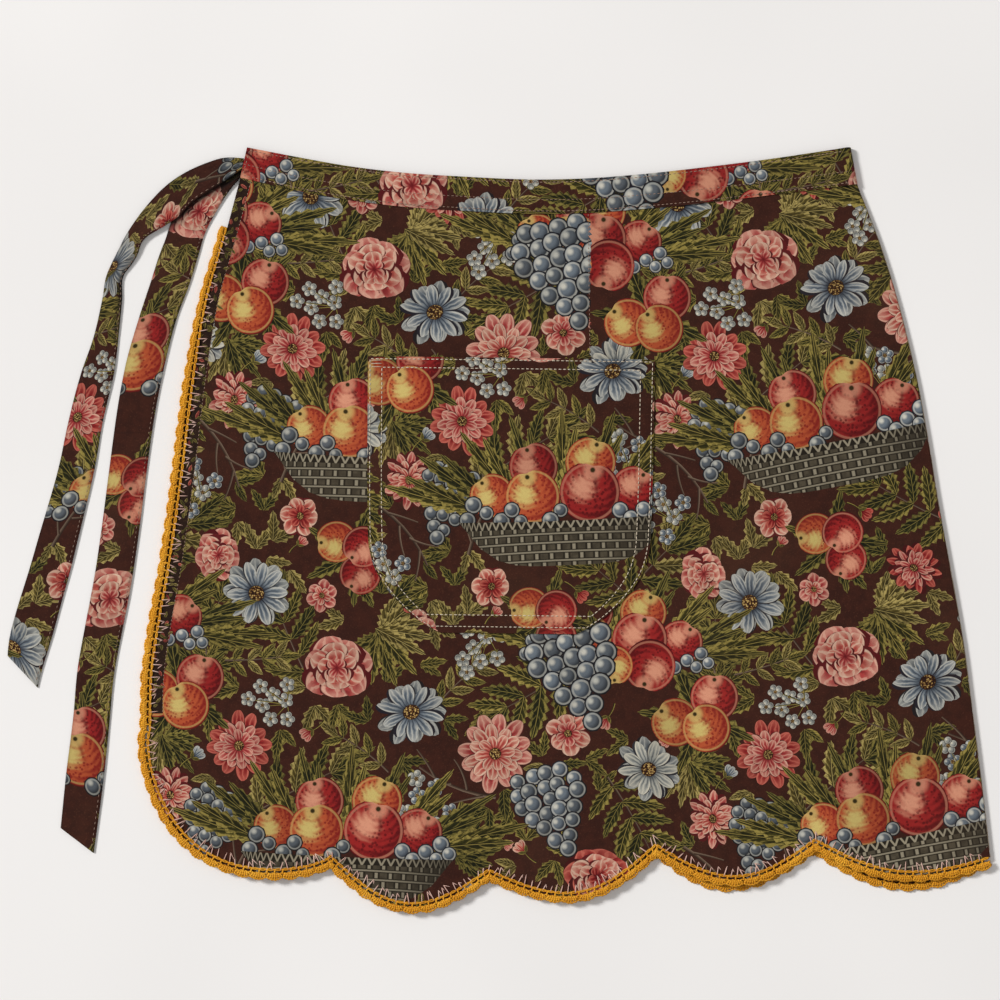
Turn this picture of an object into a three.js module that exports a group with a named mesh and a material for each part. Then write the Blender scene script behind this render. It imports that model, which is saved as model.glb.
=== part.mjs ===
// Half waist apron, folded in half down its middle and laid flat, ties to the left.
// Millimetres, +Z up. The apron lies on z = 0, with its waistband towards +Y and its fold towards +X.
// All outlines are worked out from the waistband's upper left corner, and the whole is centred last.

import * as THREE from 'three';

// Outline of the folded apron
const HALF_WAIST = 410;
const SKIRT_LENGTH = 480;
const SIDE_FLARE = 65;
const FOLD_FLARE = 95;
const WAIST_DIP = 22;
const CORNER_ROUND = 46;
const SCALLOP_DEPTH = 25;
const BACK_HEM_DROP = 6;

// Cloth walls and the room between the layers
const CLOTH_WALL = 1.0;
const LAYER_GAP = 1.2;
const SEAM_GAP = 0.3;
const RIPPLE_HEIGHT = 2.2;

// Waistband
const BAND_HEIGHT = 23.5;
const BAND_SPLAY = 4.6;
const BAND_WALL = 2.2;
const BAND_GAP = 0.6;

// Ties, each a flat sewn strap
const TIE_WIDTH = 25.5;
const TIE_WALL = 1.4;
const TIE_FRONT_DROP = 352;
const TIE_BACK_DROP = 459;
const TIE_SPREAD = 24.5;
const TIES_APART = 10.5;
const TIE_CROSSING_GAP = 0.6;

// Patch pocket
const POCKET_WIDTH = 195;
const POCKET_HEIGHT = 187;
const POCKET_FROM_SIDE = 179.5;
const POCKET_BELOW_WAIST = 143;
const POCKET_TURN_DEG = -0.7;
const POCKET_WALL = 1.0;
const POCKET_ROOM = 6.5;

// Crochet edging
const EDGING_WIDTH = 9.0;
const EDGING_VALLEY = 7.4;
const EDGING_WALL = 1.4;
const EDGING_FOLD_GAP = 0.6;
const EDGING_PITCH = 10.5;
const EYELET_FROM_EDGE = 2.6;
const EYELET_DEPTH = 2.2;
const EDGING_START = 0.09;
const EDGING_TAPER = 150;
const EDGING_START_SHARE = 0.6;

// How finely the surfaces are divided
const SCALLOP_COLUMNS = 6;
const SKIRT_ROWS = 10;
const BAND_COLUMNS = 26;
const BEND_STEPS = 4;
const POCKET_COLUMNS = 14;
const POCKET_ROWS = 12;
const TIE_STEPS = 2;
const PATH_STEPS = 400;

// Waistband from its free end to the fold: dip as a share of WAIST_DIP, height of BAND_HEIGHT
const WAIST = [
  { along: 0.0, dip: 0.0, tall: 0.87 },
  { along: 0.09, dip: 0.32, tall: 0.94 },
  { along: 0.17, dip: 0.58, tall: 0.955 },
  { along: 0.26, dip: 0.78, tall: 0.975 },
  { along: 0.36, dip: 0.9, tall: 0.985 },
  { along: 0.47, dip: 0.99, tall: 0.99 },
  { along: 0.56, dip: 0.96, tall: 1.0 },
  { along: 0.65, dip: 0.84, tall: 1.0 },
  { along: 0.74, dip: 0.66, tall: 1.02 },
  { along: 0.87, dip: 0.36, tall: 1.03 },
  { along: 1.0, dip: 0.0, tall: 1.07 },
];

// Side edge from the waist seam to the rounded corner, as shares of its drop and of its flare
const SIDE = [
  { down: 0.0, out: 0.0 },
  { down: 0.109, out: 0.18 },
  { down: 0.219, out: 0.371 },
  { down: 0.364, out: 0.517 },
  { down: 0.529, out: 0.64 },
  { down: 0.687, out: 0.775 },
  { down: 0.812, out: 0.91 },
  { down: 0.9, out: 0.985 },
  { down: 1.0, out: 1.0 },
];

// Folded edge from the waist seam to the hem, as shares of its drop and of its flare
const FOLD = [
  { down: 0.0, out: 0.0 },
  { down: 0.088, out: 0.173 },
  { down: 0.18, out: 0.316 },
  { down: 0.277, out: 0.436 },
  { down: 0.362, out: 0.519 },
  { down: 0.47, out: 0.609 },
  { down: 0.679, out: 0.797 },
  { down: 0.781, out: 0.865 },
  { down: 0.884, out: 0.932 },
  { down: 1.0, out: 1.0 },
];

// Points of the hem between its scallops: across as a share of the hem's span,
// down as a share of SKIRT_LENGTH
const HEM_POINTS = [
  { across: 0.0, down: 0.824 },
  { across: 0.2145, down: 1.0 },
  { across: 0.4029, down: 1.02 },
  { across: 0.6025, down: 0.984 },
  { across: 0.7926, down: 0.977 },
  { across: 1.0, down: 1.003 },
];

// The scallop after each point: its depth and how full its curve is
const SCALLOPS = [
  { depth: CORNER_ROUND, fullness: 0.7 },
  { depth: 1.09 * SCALLOP_DEPTH, fullness: 1.0 },
  { depth: 0.95 * SCALLOP_DEPTH, fullness: 1.0 },
  { depth: 0.92 * SCALLOP_DEPTH, fullness: 1.0 },
  { depth: 0.61 * SCALLOP_DEPTH, fullness: 1.0 },
];

// How far the hidden half's hem hangs below the upper one, as a share of BACK_HEM_DROP
const BACK_HEM = [
  { along: 0.0, drop: 0.0 },
  { along: 0.6, drop: 0.0 },
  { along: 0.66, drop: 0.75 },
  { along: 0.78, drop: 0.25 },
  { along: 0.86, drop: 1.0 },
  { along: 0.93, drop: 0.95 },
  { along: 0.98, drop: 0.2 },
  { along: 1.0, drop: 0.0 },
];

// Soft ripples of the upper layer: place and width as shares of the layer's width,
// start as a share of the skirt's length
const RIPPLES = [
  { across: 0.14, wide: 0.06, tall: 0.8, start: 0.62 },
  { across: 0.33, wide: 0.05, tall: 0.7, start: 0.74 },
  { across: 0.52, wide: 0.06, tall: 0.6, start: 0.76 },
  { across: 0.7, wide: 0.05, tall: 1.0, start: 0.5 },
  { across: 0.86, wide: 0.045, tall: 0.9, start: 0.55 },
];

// Sections of the ties. down is a share of the tie's drop, apart a share of its spread from the
// side edge, across and slant shares of TIE_WIDTH, root and over the two parts of its height.
const TIE_BACK = [
  { down: 0.0, apart: 0.0, across: -0.05, slant: 0.24, root: 1.0, over: 0 },
  { down: 0.024, apart: 0.25, across: 0.16, slant: 0.24, root: 0.5, over: 0 },
  { down: 0.064, apart: 0.5, across: 0.59, slant: 0.4, root: 0.0, over: 0 },
  { down: 0.086, apart: 0.58, across: 0.83, slant: 0.27, root: 0.0, over: 0 },
  { down: 0.111, apart: 0.58, across: 0.99, slant: 0.13, root: 0.0, over: 0 },
  { down: 0.161, apart: 0.6, across: 1.04, slant: 0.03, root: 0.0, over: 0 },
  { down: 0.207, apart: 0.74, across: 1.01, slant: 0.0, root: 0.0, over: 0 },
  { down: 0.279, apart: 0.88, across: 1.04, slant: 0.0, root: 0.0, over: 0 },
  { down: 0.391, apart: 1.0, across: 1.01, slant: 0.0, root: 0.0, over: 0 },
  { down: 0.533, apart: 1.0, across: 1.01, slant: 0.0, root: 0.0, over: 0 },
  { down: 0.646, apart: 0.99, across: 1.02, slant: 0.0, root: 0.0, over: 0 },
  { down: 0.79, apart: 1.14, across: 0.97, slant: 0.1, root: 0.0, over: 0 },
  { down: 0.902, apart: 1.35, across: 0.98, slant: 0.3, root: 0.0, over: 0 },
  { down: 1.0, apart: 1.6, across: 0.88, slant: 0.67, root: 0.0, over: 0 },
];
const TIE_FRONT = [
  { down: 0.0, apart: 0.0, across: -0.12, slant: 0.29, root: 1.0, over: 0.0 },
  { down: 0.027, apart: 0.2, across: -0.16, slant: 0.69, root: 0.6, over: 0.4 },
  { down: 0.062, apart: 0.46, across: -0.42, slant: 1.05, root: 0.3, over: 0.7 },
  { down: 0.089, apart: 0.57, across: -0.16, slant: 1.15, root: 0.1, over: 0.9 },
  { down: 0.11, apart: 0.71, across: 0.0, slant: 1.04, root: 0.0, over: 1.0 },
  { down: 0.128, apart: 0.86, across: 0.13, slant: 0.69, root: 0.0, over: 0.9 },
  { down: 0.141, apart: 0.91, across: 0.37, slant: 0.29, root: 0.0, over: 0.8 },
  { down: 0.165, apart: 0.92, across: 0.51, slant: 0.13, root: 0.0, over: 0.5 },
  { down: 0.184, apart: 0.955, across: 0.53, slant: 0.03, root: 0.0, over: 0.3 },
  { down: 0.207, apart: 1.01, across: 0.45, slant: 0.0, root: 0.0, over: 0.15 },
  { down: 0.25, apart: 0.955, across: 0.53, slant: 0.0, root: 0.0, over: 0.0 },
  { down: 0.322, apart: 0.92, across: 0.66, slant: 0.0, root: 0.0, over: 0.0 },
  { down: 0.393, apart: 0.91, across: 0.88, slant: 0.0, root: 0.0, over: 0.0 },
  { down: 0.49, apart: 0.97, across: 0.92, slant: 0.0, root: 0.0, over: 0.0 },
  { down: 0.581, apart: 1.0, across: 0.97, slant: 0.0, root: 0.0, over: 0.0 },
  { down: 0.717, apart: 1.08, across: 1.04, slant: 0.1, root: 0.0, over: 0.0 },
  { down: 0.81, apart: 1.13, across: 1.06, slant: 0.2, root: 0.0, over: 0.0 },
  { down: 0.907, apart: 1.19, across: 1.03, slant: 0.4, root: 0.0, over: 0.0 },
  { down: 1.0, apart: 1.285, across: 0.8, slant: 0.85, root: 0.0, over: 0.0 },
];
const TIE_FRONT_ROOT = 0.73;
const TIE_BACK_ROOT = 1.0;

// Half width of the pocket down its height, as a share of half of POCKET_WIDTH
const POCKET_OUTLINE = [
  { down: 0.0, half: 1.0 },
  { down: 0.64, half: 0.985 },
  { down: 0.74, half: 0.955 },
  { down: 0.82, half: 0.88 },
  { down: 0.9, half: 0.75 },
  { down: 0.96, half: 0.61 },
  { down: 1.0, half: 0.475 },
];

// A table's column read between its rows, on a smooth curve through them
function read(table, key, column, at) {
  const last = table.length - 1;
  const value = THREE.MathUtils.clamp(at, table[0][key], table[last][key]);
  let row = 0;
  while (row < last - 1 && value > table[row + 1][key]) row += 1;
  const slope = (a, b) => (table[b][column] - table[a][column]) / (table[b][key] - table[a][key]);
  const span = table[row + 1][key] - table[row][key];
  const here = slope(row, row + 1);
  const before = row > 0 ? slope(row - 1, row + 1) : here;
  const after = row + 1 < last ? slope(row, row + 2) : here;
  const t = (value - table[row][key]) / span;
  const a = table[row][column];
  const b = table[row + 1][column];
  const curve = (2 * t ** 3 - 3 * t ** 2 + 1) * a + (3 * t ** 2 - 2 * t ** 3) * b;
  return curve + span * ((t ** 3 - 2 * t ** 2 + t) * before + (t ** 3 - t ** 2) * after);
}

function plan(x, y) {
  return new THREE.Vector2(x, y);
}

function between(from, to, share) {
  return from.clone().lerp(to, share);
}

// Edges of the folded apron, seen from above
function waistTop(share) {
  return plan(HALF_WAIST * share, -WAIST_DIP * read(WAIST, 'along', 'dip', share));
}

function waistSeam(share) {
  const tall = BAND_HEIGHT * read(WAIST, 'along', 'tall', share);
  return waistTop(share).add(plan(BAND_SPLAY * (2 * share - 1), -tall));
}

function skirtTop(share) {
  return waistSeam(share).sub(plan(0, SEAM_GAP));
}

function hemPoint(index) {
  const row = HEM_POINTS[index];
  const span = SIDE_FLARE + HALF_WAIST + FOLD_FLARE;
  return plan(row.across * span - SIDE_FLARE, -row.down * SKIRT_LENGTH);
}

function sideEdge(share) {
  const from = skirtTop(0);
  const to = hemPoint(0);
  return plan(
    from.x + (to.x - from.x) * read(SIDE, 'down', 'out', share),
    from.y + (to.y - from.y) * share,
  );
}

function foldEdge(share) {
  const from = skirtTop(1);
  const to = hemPoint(HEM_POINTS.length - 1);
  return plan(
    from.x + (to.x - from.x) * read(FOLD, 'down', 'out', share),
    from.y + (to.y - from.y) * share,
  );
}

// The scalloped hem from the rounded corner to the fold
function hem(share, back) {
  const place = Math.min(share * SCALLOPS.length, SCALLOPS.length - 1e-9);
  const index = Math.floor(place);
  const from = hemPoint(index);
  const chord = hemPoint(index + 1).sub(from);
  const outward = plan(chord.y, -chord.x).normalize();
  const { depth, fullness } = SCALLOPS[index];
  const bulge = depth * Math.sin(Math.PI * (place - index)) ** fullness;
  const point = from.add(chord.multiplyScalar(place - index)).add(outward.multiplyScalar(bulge));
  const drop = back ? BACK_HEM_DROP * read(BACK_HEM, 'along', 'drop', share) : 0;
  return point.sub(plan(0, drop));
}

// A point of the skirt's cloth, blended from its four edges
function skirtPlan(share, down, back) {
  const corners = between(
    between(skirtTop(0), skirtTop(1), share),
    between(hem(0, back), hem(1, back), share),
    down,
  );
  return between(skirtTop(share), hem(share, back), down)
    .add(between(sideEdge(down), foldEdge(down), share))
    .sub(corners);
}

function bandPlan(share, down) {
  return between(waistTop(share), waistSeam(share), down);
}

// Left boundary of the whole at a height y: the waistband's end, then the side edge
function edgeX(y) {
  const top = skirtTop(0).y;
  if (y > top) return between(waistTop(0), waistSeam(0), y / waistSeam(0).y).x;
  const share = (y - top) / (hemPoint(0).y - top);
  return sideEdge(Math.min(share, 1)).x;
}

// Height of the upper layer's ripples above its flat lie
function ripple(x, y) {
  const left = edgeX(y);
  const top = skirtTop(1).y;
  const fold = foldEdge(THREE.MathUtils.clamp((y - top) / (hemPoint(SCALLOPS.length).y - top), 0, 1)).x;
  const across = (x - left) / (fold - left);
  let height = 0;
  for (const row of RIPPLES) {
    const grown = THREE.MathUtils.smoothstep(-y / SKIRT_LENGTH, row.start, 1);
    height += row.tall * grown * Math.exp(-(((across - row.across) / row.wide) ** 2));
  }
  return RIPPLE_HEIGHT * height;
}

// A closed wall over a grid of cells. point gives a corner of the grid on either face,
// and filled says which cells hold material.
function wallOver(columns, rows, point, filled = () => true) {
  const positions = [];
  const index = [];
  const corner = (i, j, face) => (i * (rows + 1) + j) * 2 + face;
  for (let i = 0; i <= columns; i += 1) {
    for (let j = 0; j <= rows; j += 1) {
      for (let face = 0; face < 2; face += 1) positions.push(...point(i, j, face).toArray());
    }
  }
  const quad = (a, b, c, d) => index.push(a, b, c, a, c, d);
  const empty = (i, j) => i < 0 || j < 0 || i >= columns || j >= rows || !filled(i, j);
  for (let i = 0; i < columns; i += 1) {
    for (let j = 0; j < rows; j += 1) {
      if (empty(i, j)) continue;
      const near = [corner(i, j, 0), corner(i + 1, j, 0), corner(i + 1, j + 1, 0), corner(i, j + 1, 0)];
      const far = near.map((vertex) => vertex + 1);
      quad(...near);
      quad(far[0], far[3], far[2], far[1]);
      if (empty(i, j - 1)) quad(near[1], near[0], far[0], far[1]);
      if (empty(i + 1, j)) quad(near[2], near[1], far[1], far[2]);
      if (empty(i, j + 1)) quad(near[3], near[2], far[2], far[3]);
      if (empty(i - 1, j)) quad(near[0], near[3], far[3], far[0]);
    }
  }
  return facingOut(positions, index);
}

// The faces are turned over where they enclose a negative volume
function facingOut(positions, index) {
  const at = (vertex) => new THREE.Vector3().fromArray(positions, 3 * vertex);
  let volume = 0;
  for (let i = 0; i < index.length; i += 3) {
    volume += at(index[i]).dot(at(index[i + 1]).cross(at(index[i + 2])));
  }
  const kept = [...new Set(index)].sort((a, b) => a - b);
  const renumbered = new Map(kept.map((vertex, order) => [vertex, order]));
  const order = volume > 0 ? index : index.slice().reverse();
  const geometry = new THREE.BufferGeometry();
  const used = kept.flatMap((vertex) => positions.slice(3 * vertex, 3 * vertex + 3));
  geometry.setAttribute('position', new THREE.Float32BufferAttribute(used, 3));
  geometry.setIndex(order.map((vertex) => renumbered.get(vertex)));
  geometry.computeVertexNormals();
  return geometry;
}

// A cloth that runs along its lower layer, round the fold and back along its upper layer
function foldedCloth(columns, rows, outline, wall, gap, lift) {
  const outer = wall + gap / 2;
  const stations = [];
  for (let i = 0; i <= columns; i += 1) stations.push({ share: i / columns, turn: 0 });
  for (let k = 1; k < BEND_STEPS; k += 1) stations.push({ share: 1, turn: k / BEND_STEPS });
  for (let i = columns; i >= 0; i -= 1) stations.push({ share: i / columns, turn: 1 });
  const point = (i, j, face) => {
    const { share, turn } = stations[i];
    const spot = outline(share, j / rows, turn < 0.5);
    const radius = face === 0 ? outer : gap / 2;
    const angle = Math.PI * (turn - 0.5);
    const x = spot.x - outer * share + radius * Math.cos(angle);
    const raised = turn === 1 ? lift(x, spot.y) * THREE.MathUtils.smoothstep(1 - share, 0, 0.1) : 0;
    return new THREE.Vector3(x, spot.y, outer + radius * Math.sin(angle) + raised);
  };
  return wallOver(stations.length - 1, rows, point);
}

function flat() {
  return 0;
}

function skirt() {
  const columns = SCALLOP_COLUMNS * SCALLOPS.length;
  return foldedCloth(columns, SKIRT_ROWS, skirtPlan, CLOTH_WALL, LAYER_GAP, ripple);
}

function waistband() {
  return foldedCloth(BAND_COLUMNS, 1, bandPlan, BAND_WALL, BAND_GAP, flat);
}

// A tie from its root at the waistband's end to its slanted free end
function tie(table, rootShare, drop, spread, rootHeight) {
  const rootY = waistSeam(0).y * rootShare;
  const downs = [];
  for (let row = 0; row < table.length - 1; row += 1) {
    for (let step = 0; step < TIE_STEPS; step += 1) {
      downs.push(THREE.MathUtils.lerp(table[row].down, table[row + 1].down, step / TIE_STEPS));
    }
  }
  downs.push(1);
  const point = (i, j, face) => {
    const value = (column) => read(table, 'down', column, downs[i]);
    const y = rootY - drop * downs[i];
    const near = edgeX(y) - SEAM_GAP - spread * value('apart');
    const height = value('root') * rootHeight + value('over') * (TIE_WALL + TIE_CROSSING_GAP);
    const endY = y + j * TIE_WIDTH * value('slant');
    const beside = edgeX(endY) - SEAM_GAP;
    return new THREE.Vector3(
      Math.min(near - j * TIE_WIDTH * value('across'), beside),
      endY,
      Math.max(height, 0) + face * TIE_WALL,
    );
  };
  return wallOver(downs.length - 1, 1, point);
}

function tieBack() {
  return tie(TIE_BACK, TIE_BACK_ROOT, TIE_BACK_DROP, TIE_SPREAD, (BAND_WALL - TIE_WALL) / 2);
}

function tieFront() {
  const spread = TIE_SPREAD + TIE_WIDTH + TIES_APART;
  const rootHeight = BAND_WALL + BAND_GAP + (BAND_WALL - TIE_WALL) / 2;
  return tie(TIE_FRONT, TIE_FRONT_ROOT, TIE_FRONT_DROP, spread, rootHeight);
}

// The pocket stands off the skirt in its middle and at its mouth, and lies on it along its sides
function pocket() {
  const onSkirt = 2 * CLOTH_WALL + LAYER_GAP + SEAM_GAP;
  const mouth = plan(POCKET_FROM_SIDE, -POCKET_BELOW_WAIST);
  const turn = THREE.MathUtils.degToRad(POCKET_TURN_DEG);
  const point = (i, j, face) => {
    const down = j / POCKET_ROWS;
    const across = 2 * (i / POCKET_COLUMNS) - 1;
    const half = (POCKET_WIDTH / 2) * read(POCKET_OUTLINE, 'down', 'half', down);
    const spot = plan(across * half, -POCKET_HEIGHT * down).rotateAround(plan(0, 0), turn).add(mouth);
    const room = POCKET_ROOM * (1 - Math.abs(across) ** 2.6) * (1 - down ** 1.8);
    const under = onSkirt + ripple(spot.x, spot.y) + room;
    return new THREE.Vector3(spot.x, spot.y, under + face * POCKET_WALL);
  };
  return wallOver(POCKET_COLUMNS, POCKET_ROWS, point);
}

// The cloth's edge that carries the crochet, from below the waistband to the fold
function edgePath(back) {
  const points = [];
  for (let step = 0; step < PATH_STEPS; step += 1) {
    points.push(sideEdge(EDGING_START + (1 - EDGING_START) * (step / PATH_STEPS)));
  }
  const inset = EDGING_WALL + EDGING_FOLD_GAP / 2;
  for (let step = 0; step <= PATH_STEPS; step += 1) {
    const share = step / PATH_STEPS;
    points.push(hem(share, back).sub(plan(inset * share, 0)));
  }
  const lengths = [0];
  for (let i = 1; i < points.length; i += 1) {
    lengths.push(lengths[i - 1] + points[i].distanceTo(points[i - 1]));
  }
  return { points, lengths, total: lengths[lengths.length - 1] };
}

function pointOnPath(path, distance) {
  const wanted = THREE.MathUtils.clamp(distance, 0, path.total);
  let i = 1;
  while (i < path.points.length - 1 && path.lengths[i] < wanted) i += 1;
  const step = path.lengths[i] - path.lengths[i - 1];
  return between(path.points[i - 1], path.points[i], (wanted - path.lengths[i - 1]) / step);
}

// Places every half pitch along one layer's edge, with the direction that points off the cloth
function edgePlaces(back) {
  const path = edgePath(back);
  const units = Math.round(path.total / EDGING_PITCH);
  const places = [];
  for (let i = 0; i <= 2 * units; i += 1) {
    const distance = (path.total * i) / (2 * units);
    const ahead = pointOnPath(path, distance + EDGING_PITCH);
    const behind = pointOnPath(path, distance - EDGING_PITCH);
    const outward = plan(ahead.y - behind.y, behind.x - ahead.x).normalize();
    const grown = THREE.MathUtils.smoothstep(distance, 0, EDGING_TAPER);
    places.push({
      spot: pointOnPath(path, distance),
      outward,
      wide: THREE.MathUtils.lerp(EDGING_START_SHARE, 1, grown),
      tip: i % 2 === 1,
      turn: back ? 0 : 1,
    });
  }
  return places;
}

// One strip of crochet: along the lower layer's edge, round the fold, and back along the upper one.
// The upper layer's stretch has an eyelet in every second column.
function crochetEdging() {
  const lower = edgePlaces(true);
  const upper = edgePlaces(false).reverse();
  const bends = [];
  for (let k = 1; k < BEND_STEPS; k += 1) {
    bends.push({ ...lower[lower.length - 1], turn: k / BEND_STEPS });
  }
  const stations = [...lower, ...bends, ...upper];
  const eyelet = EYELET_FROM_EDGE + EYELET_DEPTH;
  const outer = EDGING_WALL + EDGING_FOLD_GAP / 2;
  const point = (i, j, face) => {
    const { spot, outward, wide, tip, turn } = stations[i];
    const depth = [0, EYELET_FROM_EDGE, eyelet, tip ? EDGING_WIDTH : EDGING_VALLEY][j];
    const off = SEAM_GAP + wide * depth;
    const radius = face === 0 ? outer : EDGING_FOLD_GAP / 2;
    const angle = Math.PI * (turn - 0.5);
    const place = spot.clone().add(outward.clone().multiplyScalar(off));
    const raised = turn === 1 ? ripple(spot.x, spot.y) : 0;
    return new THREE.Vector3(
      place.x + radius * Math.cos(angle),
      place.y,
      outer + radius * Math.sin(angle) + raised,
    );
  };
  const firstUpper = lower.length + bends.length;
  const filled = (i, j) => j !== 1 || i < firstUpper || (i - firstUpper) % 2 === 0;
  return wallOver(stations.length - 1, 3, point, filled);
}

const print = { color: 0x55362a, roughness: 0.92, metalness: 0 };
const bandPrint = { color: 0x4e3026, roughness: 0.92, metalness: 0 };
const yarn = { color: 0xc78a22, roughness: 0.85, metalness: 0 };

const PIECES = [
  { name: 'skirt', geometry: skirt(), look: print },
  { name: 'waistband', geometry: waistband(), look: bandPrint },
  { name: 'tie_front', geometry: tieFront(), look: bandPrint },
  { name: 'tie_back', geometry: tieBack(), look: bandPrint },
  { name: 'pocket', geometry: pocket(), look: print },
  { name: 'crochet_edging', geometry: crochetEdging(), look: yarn },
];

const apron = new THREE.Group();
for (const { name, geometry, look } of PIECES) {
  const mesh = new THREE.Mesh(geometry, new THREE.MeshStandardMaterial(look));
  mesh.name = name;
  apron.add(mesh);
}

// The origin is the middle of the whole on the surface that it lies on
const middle = new THREE.Box3().setFromObject(apron).getCenter(new THREE.Vector3());
apron.position.set(-middle.x, -middle.y, 0);

export default apron;
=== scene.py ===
"""Half waist apron: its finish, print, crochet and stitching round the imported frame."""

import math
import random

import bpy
import numpy as np
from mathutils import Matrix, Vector
from mathutils.bvhtree import BVHTree
from mathutils.geometry import delaunay_2d_cdt
from mathutils.kdtree import KDTree


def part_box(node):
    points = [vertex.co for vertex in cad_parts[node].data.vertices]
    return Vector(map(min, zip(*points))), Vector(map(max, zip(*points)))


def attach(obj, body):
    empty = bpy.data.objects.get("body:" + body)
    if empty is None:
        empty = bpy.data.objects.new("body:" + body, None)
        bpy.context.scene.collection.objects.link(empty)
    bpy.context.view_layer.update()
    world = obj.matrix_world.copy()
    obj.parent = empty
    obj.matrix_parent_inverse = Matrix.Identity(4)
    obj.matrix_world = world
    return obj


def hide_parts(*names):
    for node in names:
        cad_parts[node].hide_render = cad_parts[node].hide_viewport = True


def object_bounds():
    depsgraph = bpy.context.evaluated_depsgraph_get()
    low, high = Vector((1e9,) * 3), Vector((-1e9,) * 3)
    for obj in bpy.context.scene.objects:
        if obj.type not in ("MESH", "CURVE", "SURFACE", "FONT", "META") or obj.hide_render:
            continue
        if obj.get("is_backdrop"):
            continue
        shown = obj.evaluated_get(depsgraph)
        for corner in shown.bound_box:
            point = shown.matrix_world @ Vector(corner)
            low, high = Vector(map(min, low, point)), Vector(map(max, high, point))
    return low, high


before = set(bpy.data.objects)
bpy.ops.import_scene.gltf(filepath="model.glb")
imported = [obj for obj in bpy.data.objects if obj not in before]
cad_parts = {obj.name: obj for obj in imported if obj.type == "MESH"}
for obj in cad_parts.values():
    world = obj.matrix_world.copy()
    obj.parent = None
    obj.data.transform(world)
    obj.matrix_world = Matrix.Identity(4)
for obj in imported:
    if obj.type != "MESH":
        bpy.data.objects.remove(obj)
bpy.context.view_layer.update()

# Lengths are in millimetres until a mesh is made, and the same as the solids' own sizes.
MM = 0.001
HALF_WAIST = 410
SKIRT_LENGTH = 480
SIDE_FLARE = 65
FOLD_FLARE = 95
WAIST_DIP = 22
CORNER_ROUND = 46
SCALLOP_DEPTH = 25
BACK_HEM_DROP = 6
CLOTH_WALL = 1.0
LAYER_GAP = 1.2
SEAM_GAP = 0.3
RIPPLE_HEIGHT = 2.2
BAND_HEIGHT = 23.5
BAND_SPLAY = 4.6
BAND_WALL = 2.2
BAND_GAP = 0.6
TIE_WIDTH = 25.5
TIE_WALL = 1.4
TIE_FRONT_DROP = 352
TIE_BACK_DROP = 459
TIE_SPREAD = 24.5
TIES_APART = 10.5
TIE_CROSSING_GAP = 0.6
POCKET_WIDTH = 195
POCKET_HEIGHT = 187
POCKET_FROM_SIDE = 179.5
POCKET_BELOW_WAIST = 143
POCKET_TURN_DEG = -0.7
POCKET_WALL = 1.0
POCKET_ROOM = 6.5
EDGING_START = 0.09
EDGING_TAPER = 150
EDGING_START_SHARE = 0.6
EDGING_PITCH = 10.5

# Sizes that only the looks need
COTTON = 0.6
SEAM_X = 233
HEM_FOLD = 7.5
PIXEL = 0.68
PHOTO_CENTRE = (171.7, -239.4)
CAMERA_HEIGHT = 2.4
SENSOR = 36.0
PATTERN_SEED = 11


def table(columns, rows):
    """A short table as one array for each named column."""
    return dict(zip(columns.split(), np.array(rows, dtype=float).T))


WAIST = table("along dip tall", [
    (0.0, 0.0, 0.87), (0.09, 0.32, 0.94), (0.17, 0.58, 0.955), (0.26, 0.78, 0.975),
    (0.36, 0.9, 0.985), (0.47, 0.99, 0.99), (0.56, 0.96, 1.0), (0.65, 0.84, 1.0),
    (0.74, 0.66, 1.02), (0.87, 0.36, 1.03), (1.0, 0.0, 1.07)])
SIDE = table("down out", [
    (0.0, 0.0), (0.109, 0.18), (0.219, 0.371), (0.364, 0.517), (0.529, 0.64),
    (0.687, 0.775), (0.812, 0.91), (0.9, 0.985), (1.0, 1.0)])
FOLD = table("down out", [
    (0.0, 0.0), (0.088, 0.173), (0.18, 0.316), (0.277, 0.436), (0.362, 0.519),
    (0.47, 0.609), (0.679, 0.797), (0.781, 0.865), (0.884, 0.932), (1.0, 1.0)])
HEM_POINTS = table("across down", [
    (0.0, 0.824), (0.2145, 1.0), (0.4029, 1.02), (0.6025, 0.984), (0.7926, 0.977), (1.0, 1.003)])
SCALLOPS = table("depth fullness", [
    (CORNER_ROUND, 0.7), (1.09 * SCALLOP_DEPTH, 1.0), (0.95 * SCALLOP_DEPTH, 1.0),
    (0.92 * SCALLOP_DEPTH, 1.0), (0.61 * SCALLOP_DEPTH, 1.0)])
BACK_HEM = table("along drop", [
    (0.0, 0.0), (0.6, 0.0), (0.66, 0.75), (0.78, 0.25), (0.86, 1.0), (0.93, 0.95),
    (0.98, 0.2), (1.0, 0.0)])
RIPPLES = table("across wide tall start", [
    (0.14, 0.06, 0.8, 0.62), (0.33, 0.05, 0.7, 0.74), (0.52, 0.06, 0.6, 0.76),
    (0.7, 0.05, 1.0, 0.5), (0.86, 0.045, 0.9, 0.55)])
TIE_BACK = table("down apart across slant root over", [
    (0.0, 0.0, -0.05, 0.24, 1.0, 0), (0.024, 0.25, 0.16, 0.24, 0.5, 0),
    (0.064, 0.5, 0.59, 0.4, 0, 0), (0.086, 0.58, 0.83, 0.27, 0, 0),
    (0.111, 0.58, 0.99, 0.13, 0, 0), (0.161, 0.6, 1.04, 0.03, 0, 0),
    (0.207, 0.74, 1.01, 0, 0, 0), (0.279, 0.88, 1.04, 0, 0, 0),
    (0.391, 1.0, 1.01, 0, 0, 0), (0.533, 1.0, 1.01, 0, 0, 0),
    (0.646, 0.99, 1.02, 0, 0, 0), (0.79, 1.14, 0.97, 0.1, 0, 0),
    (0.902, 1.35, 0.98, 0.3, 0, 0), (1.0, 1.6, 0.88, 0.67, 0, 0)])
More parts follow.
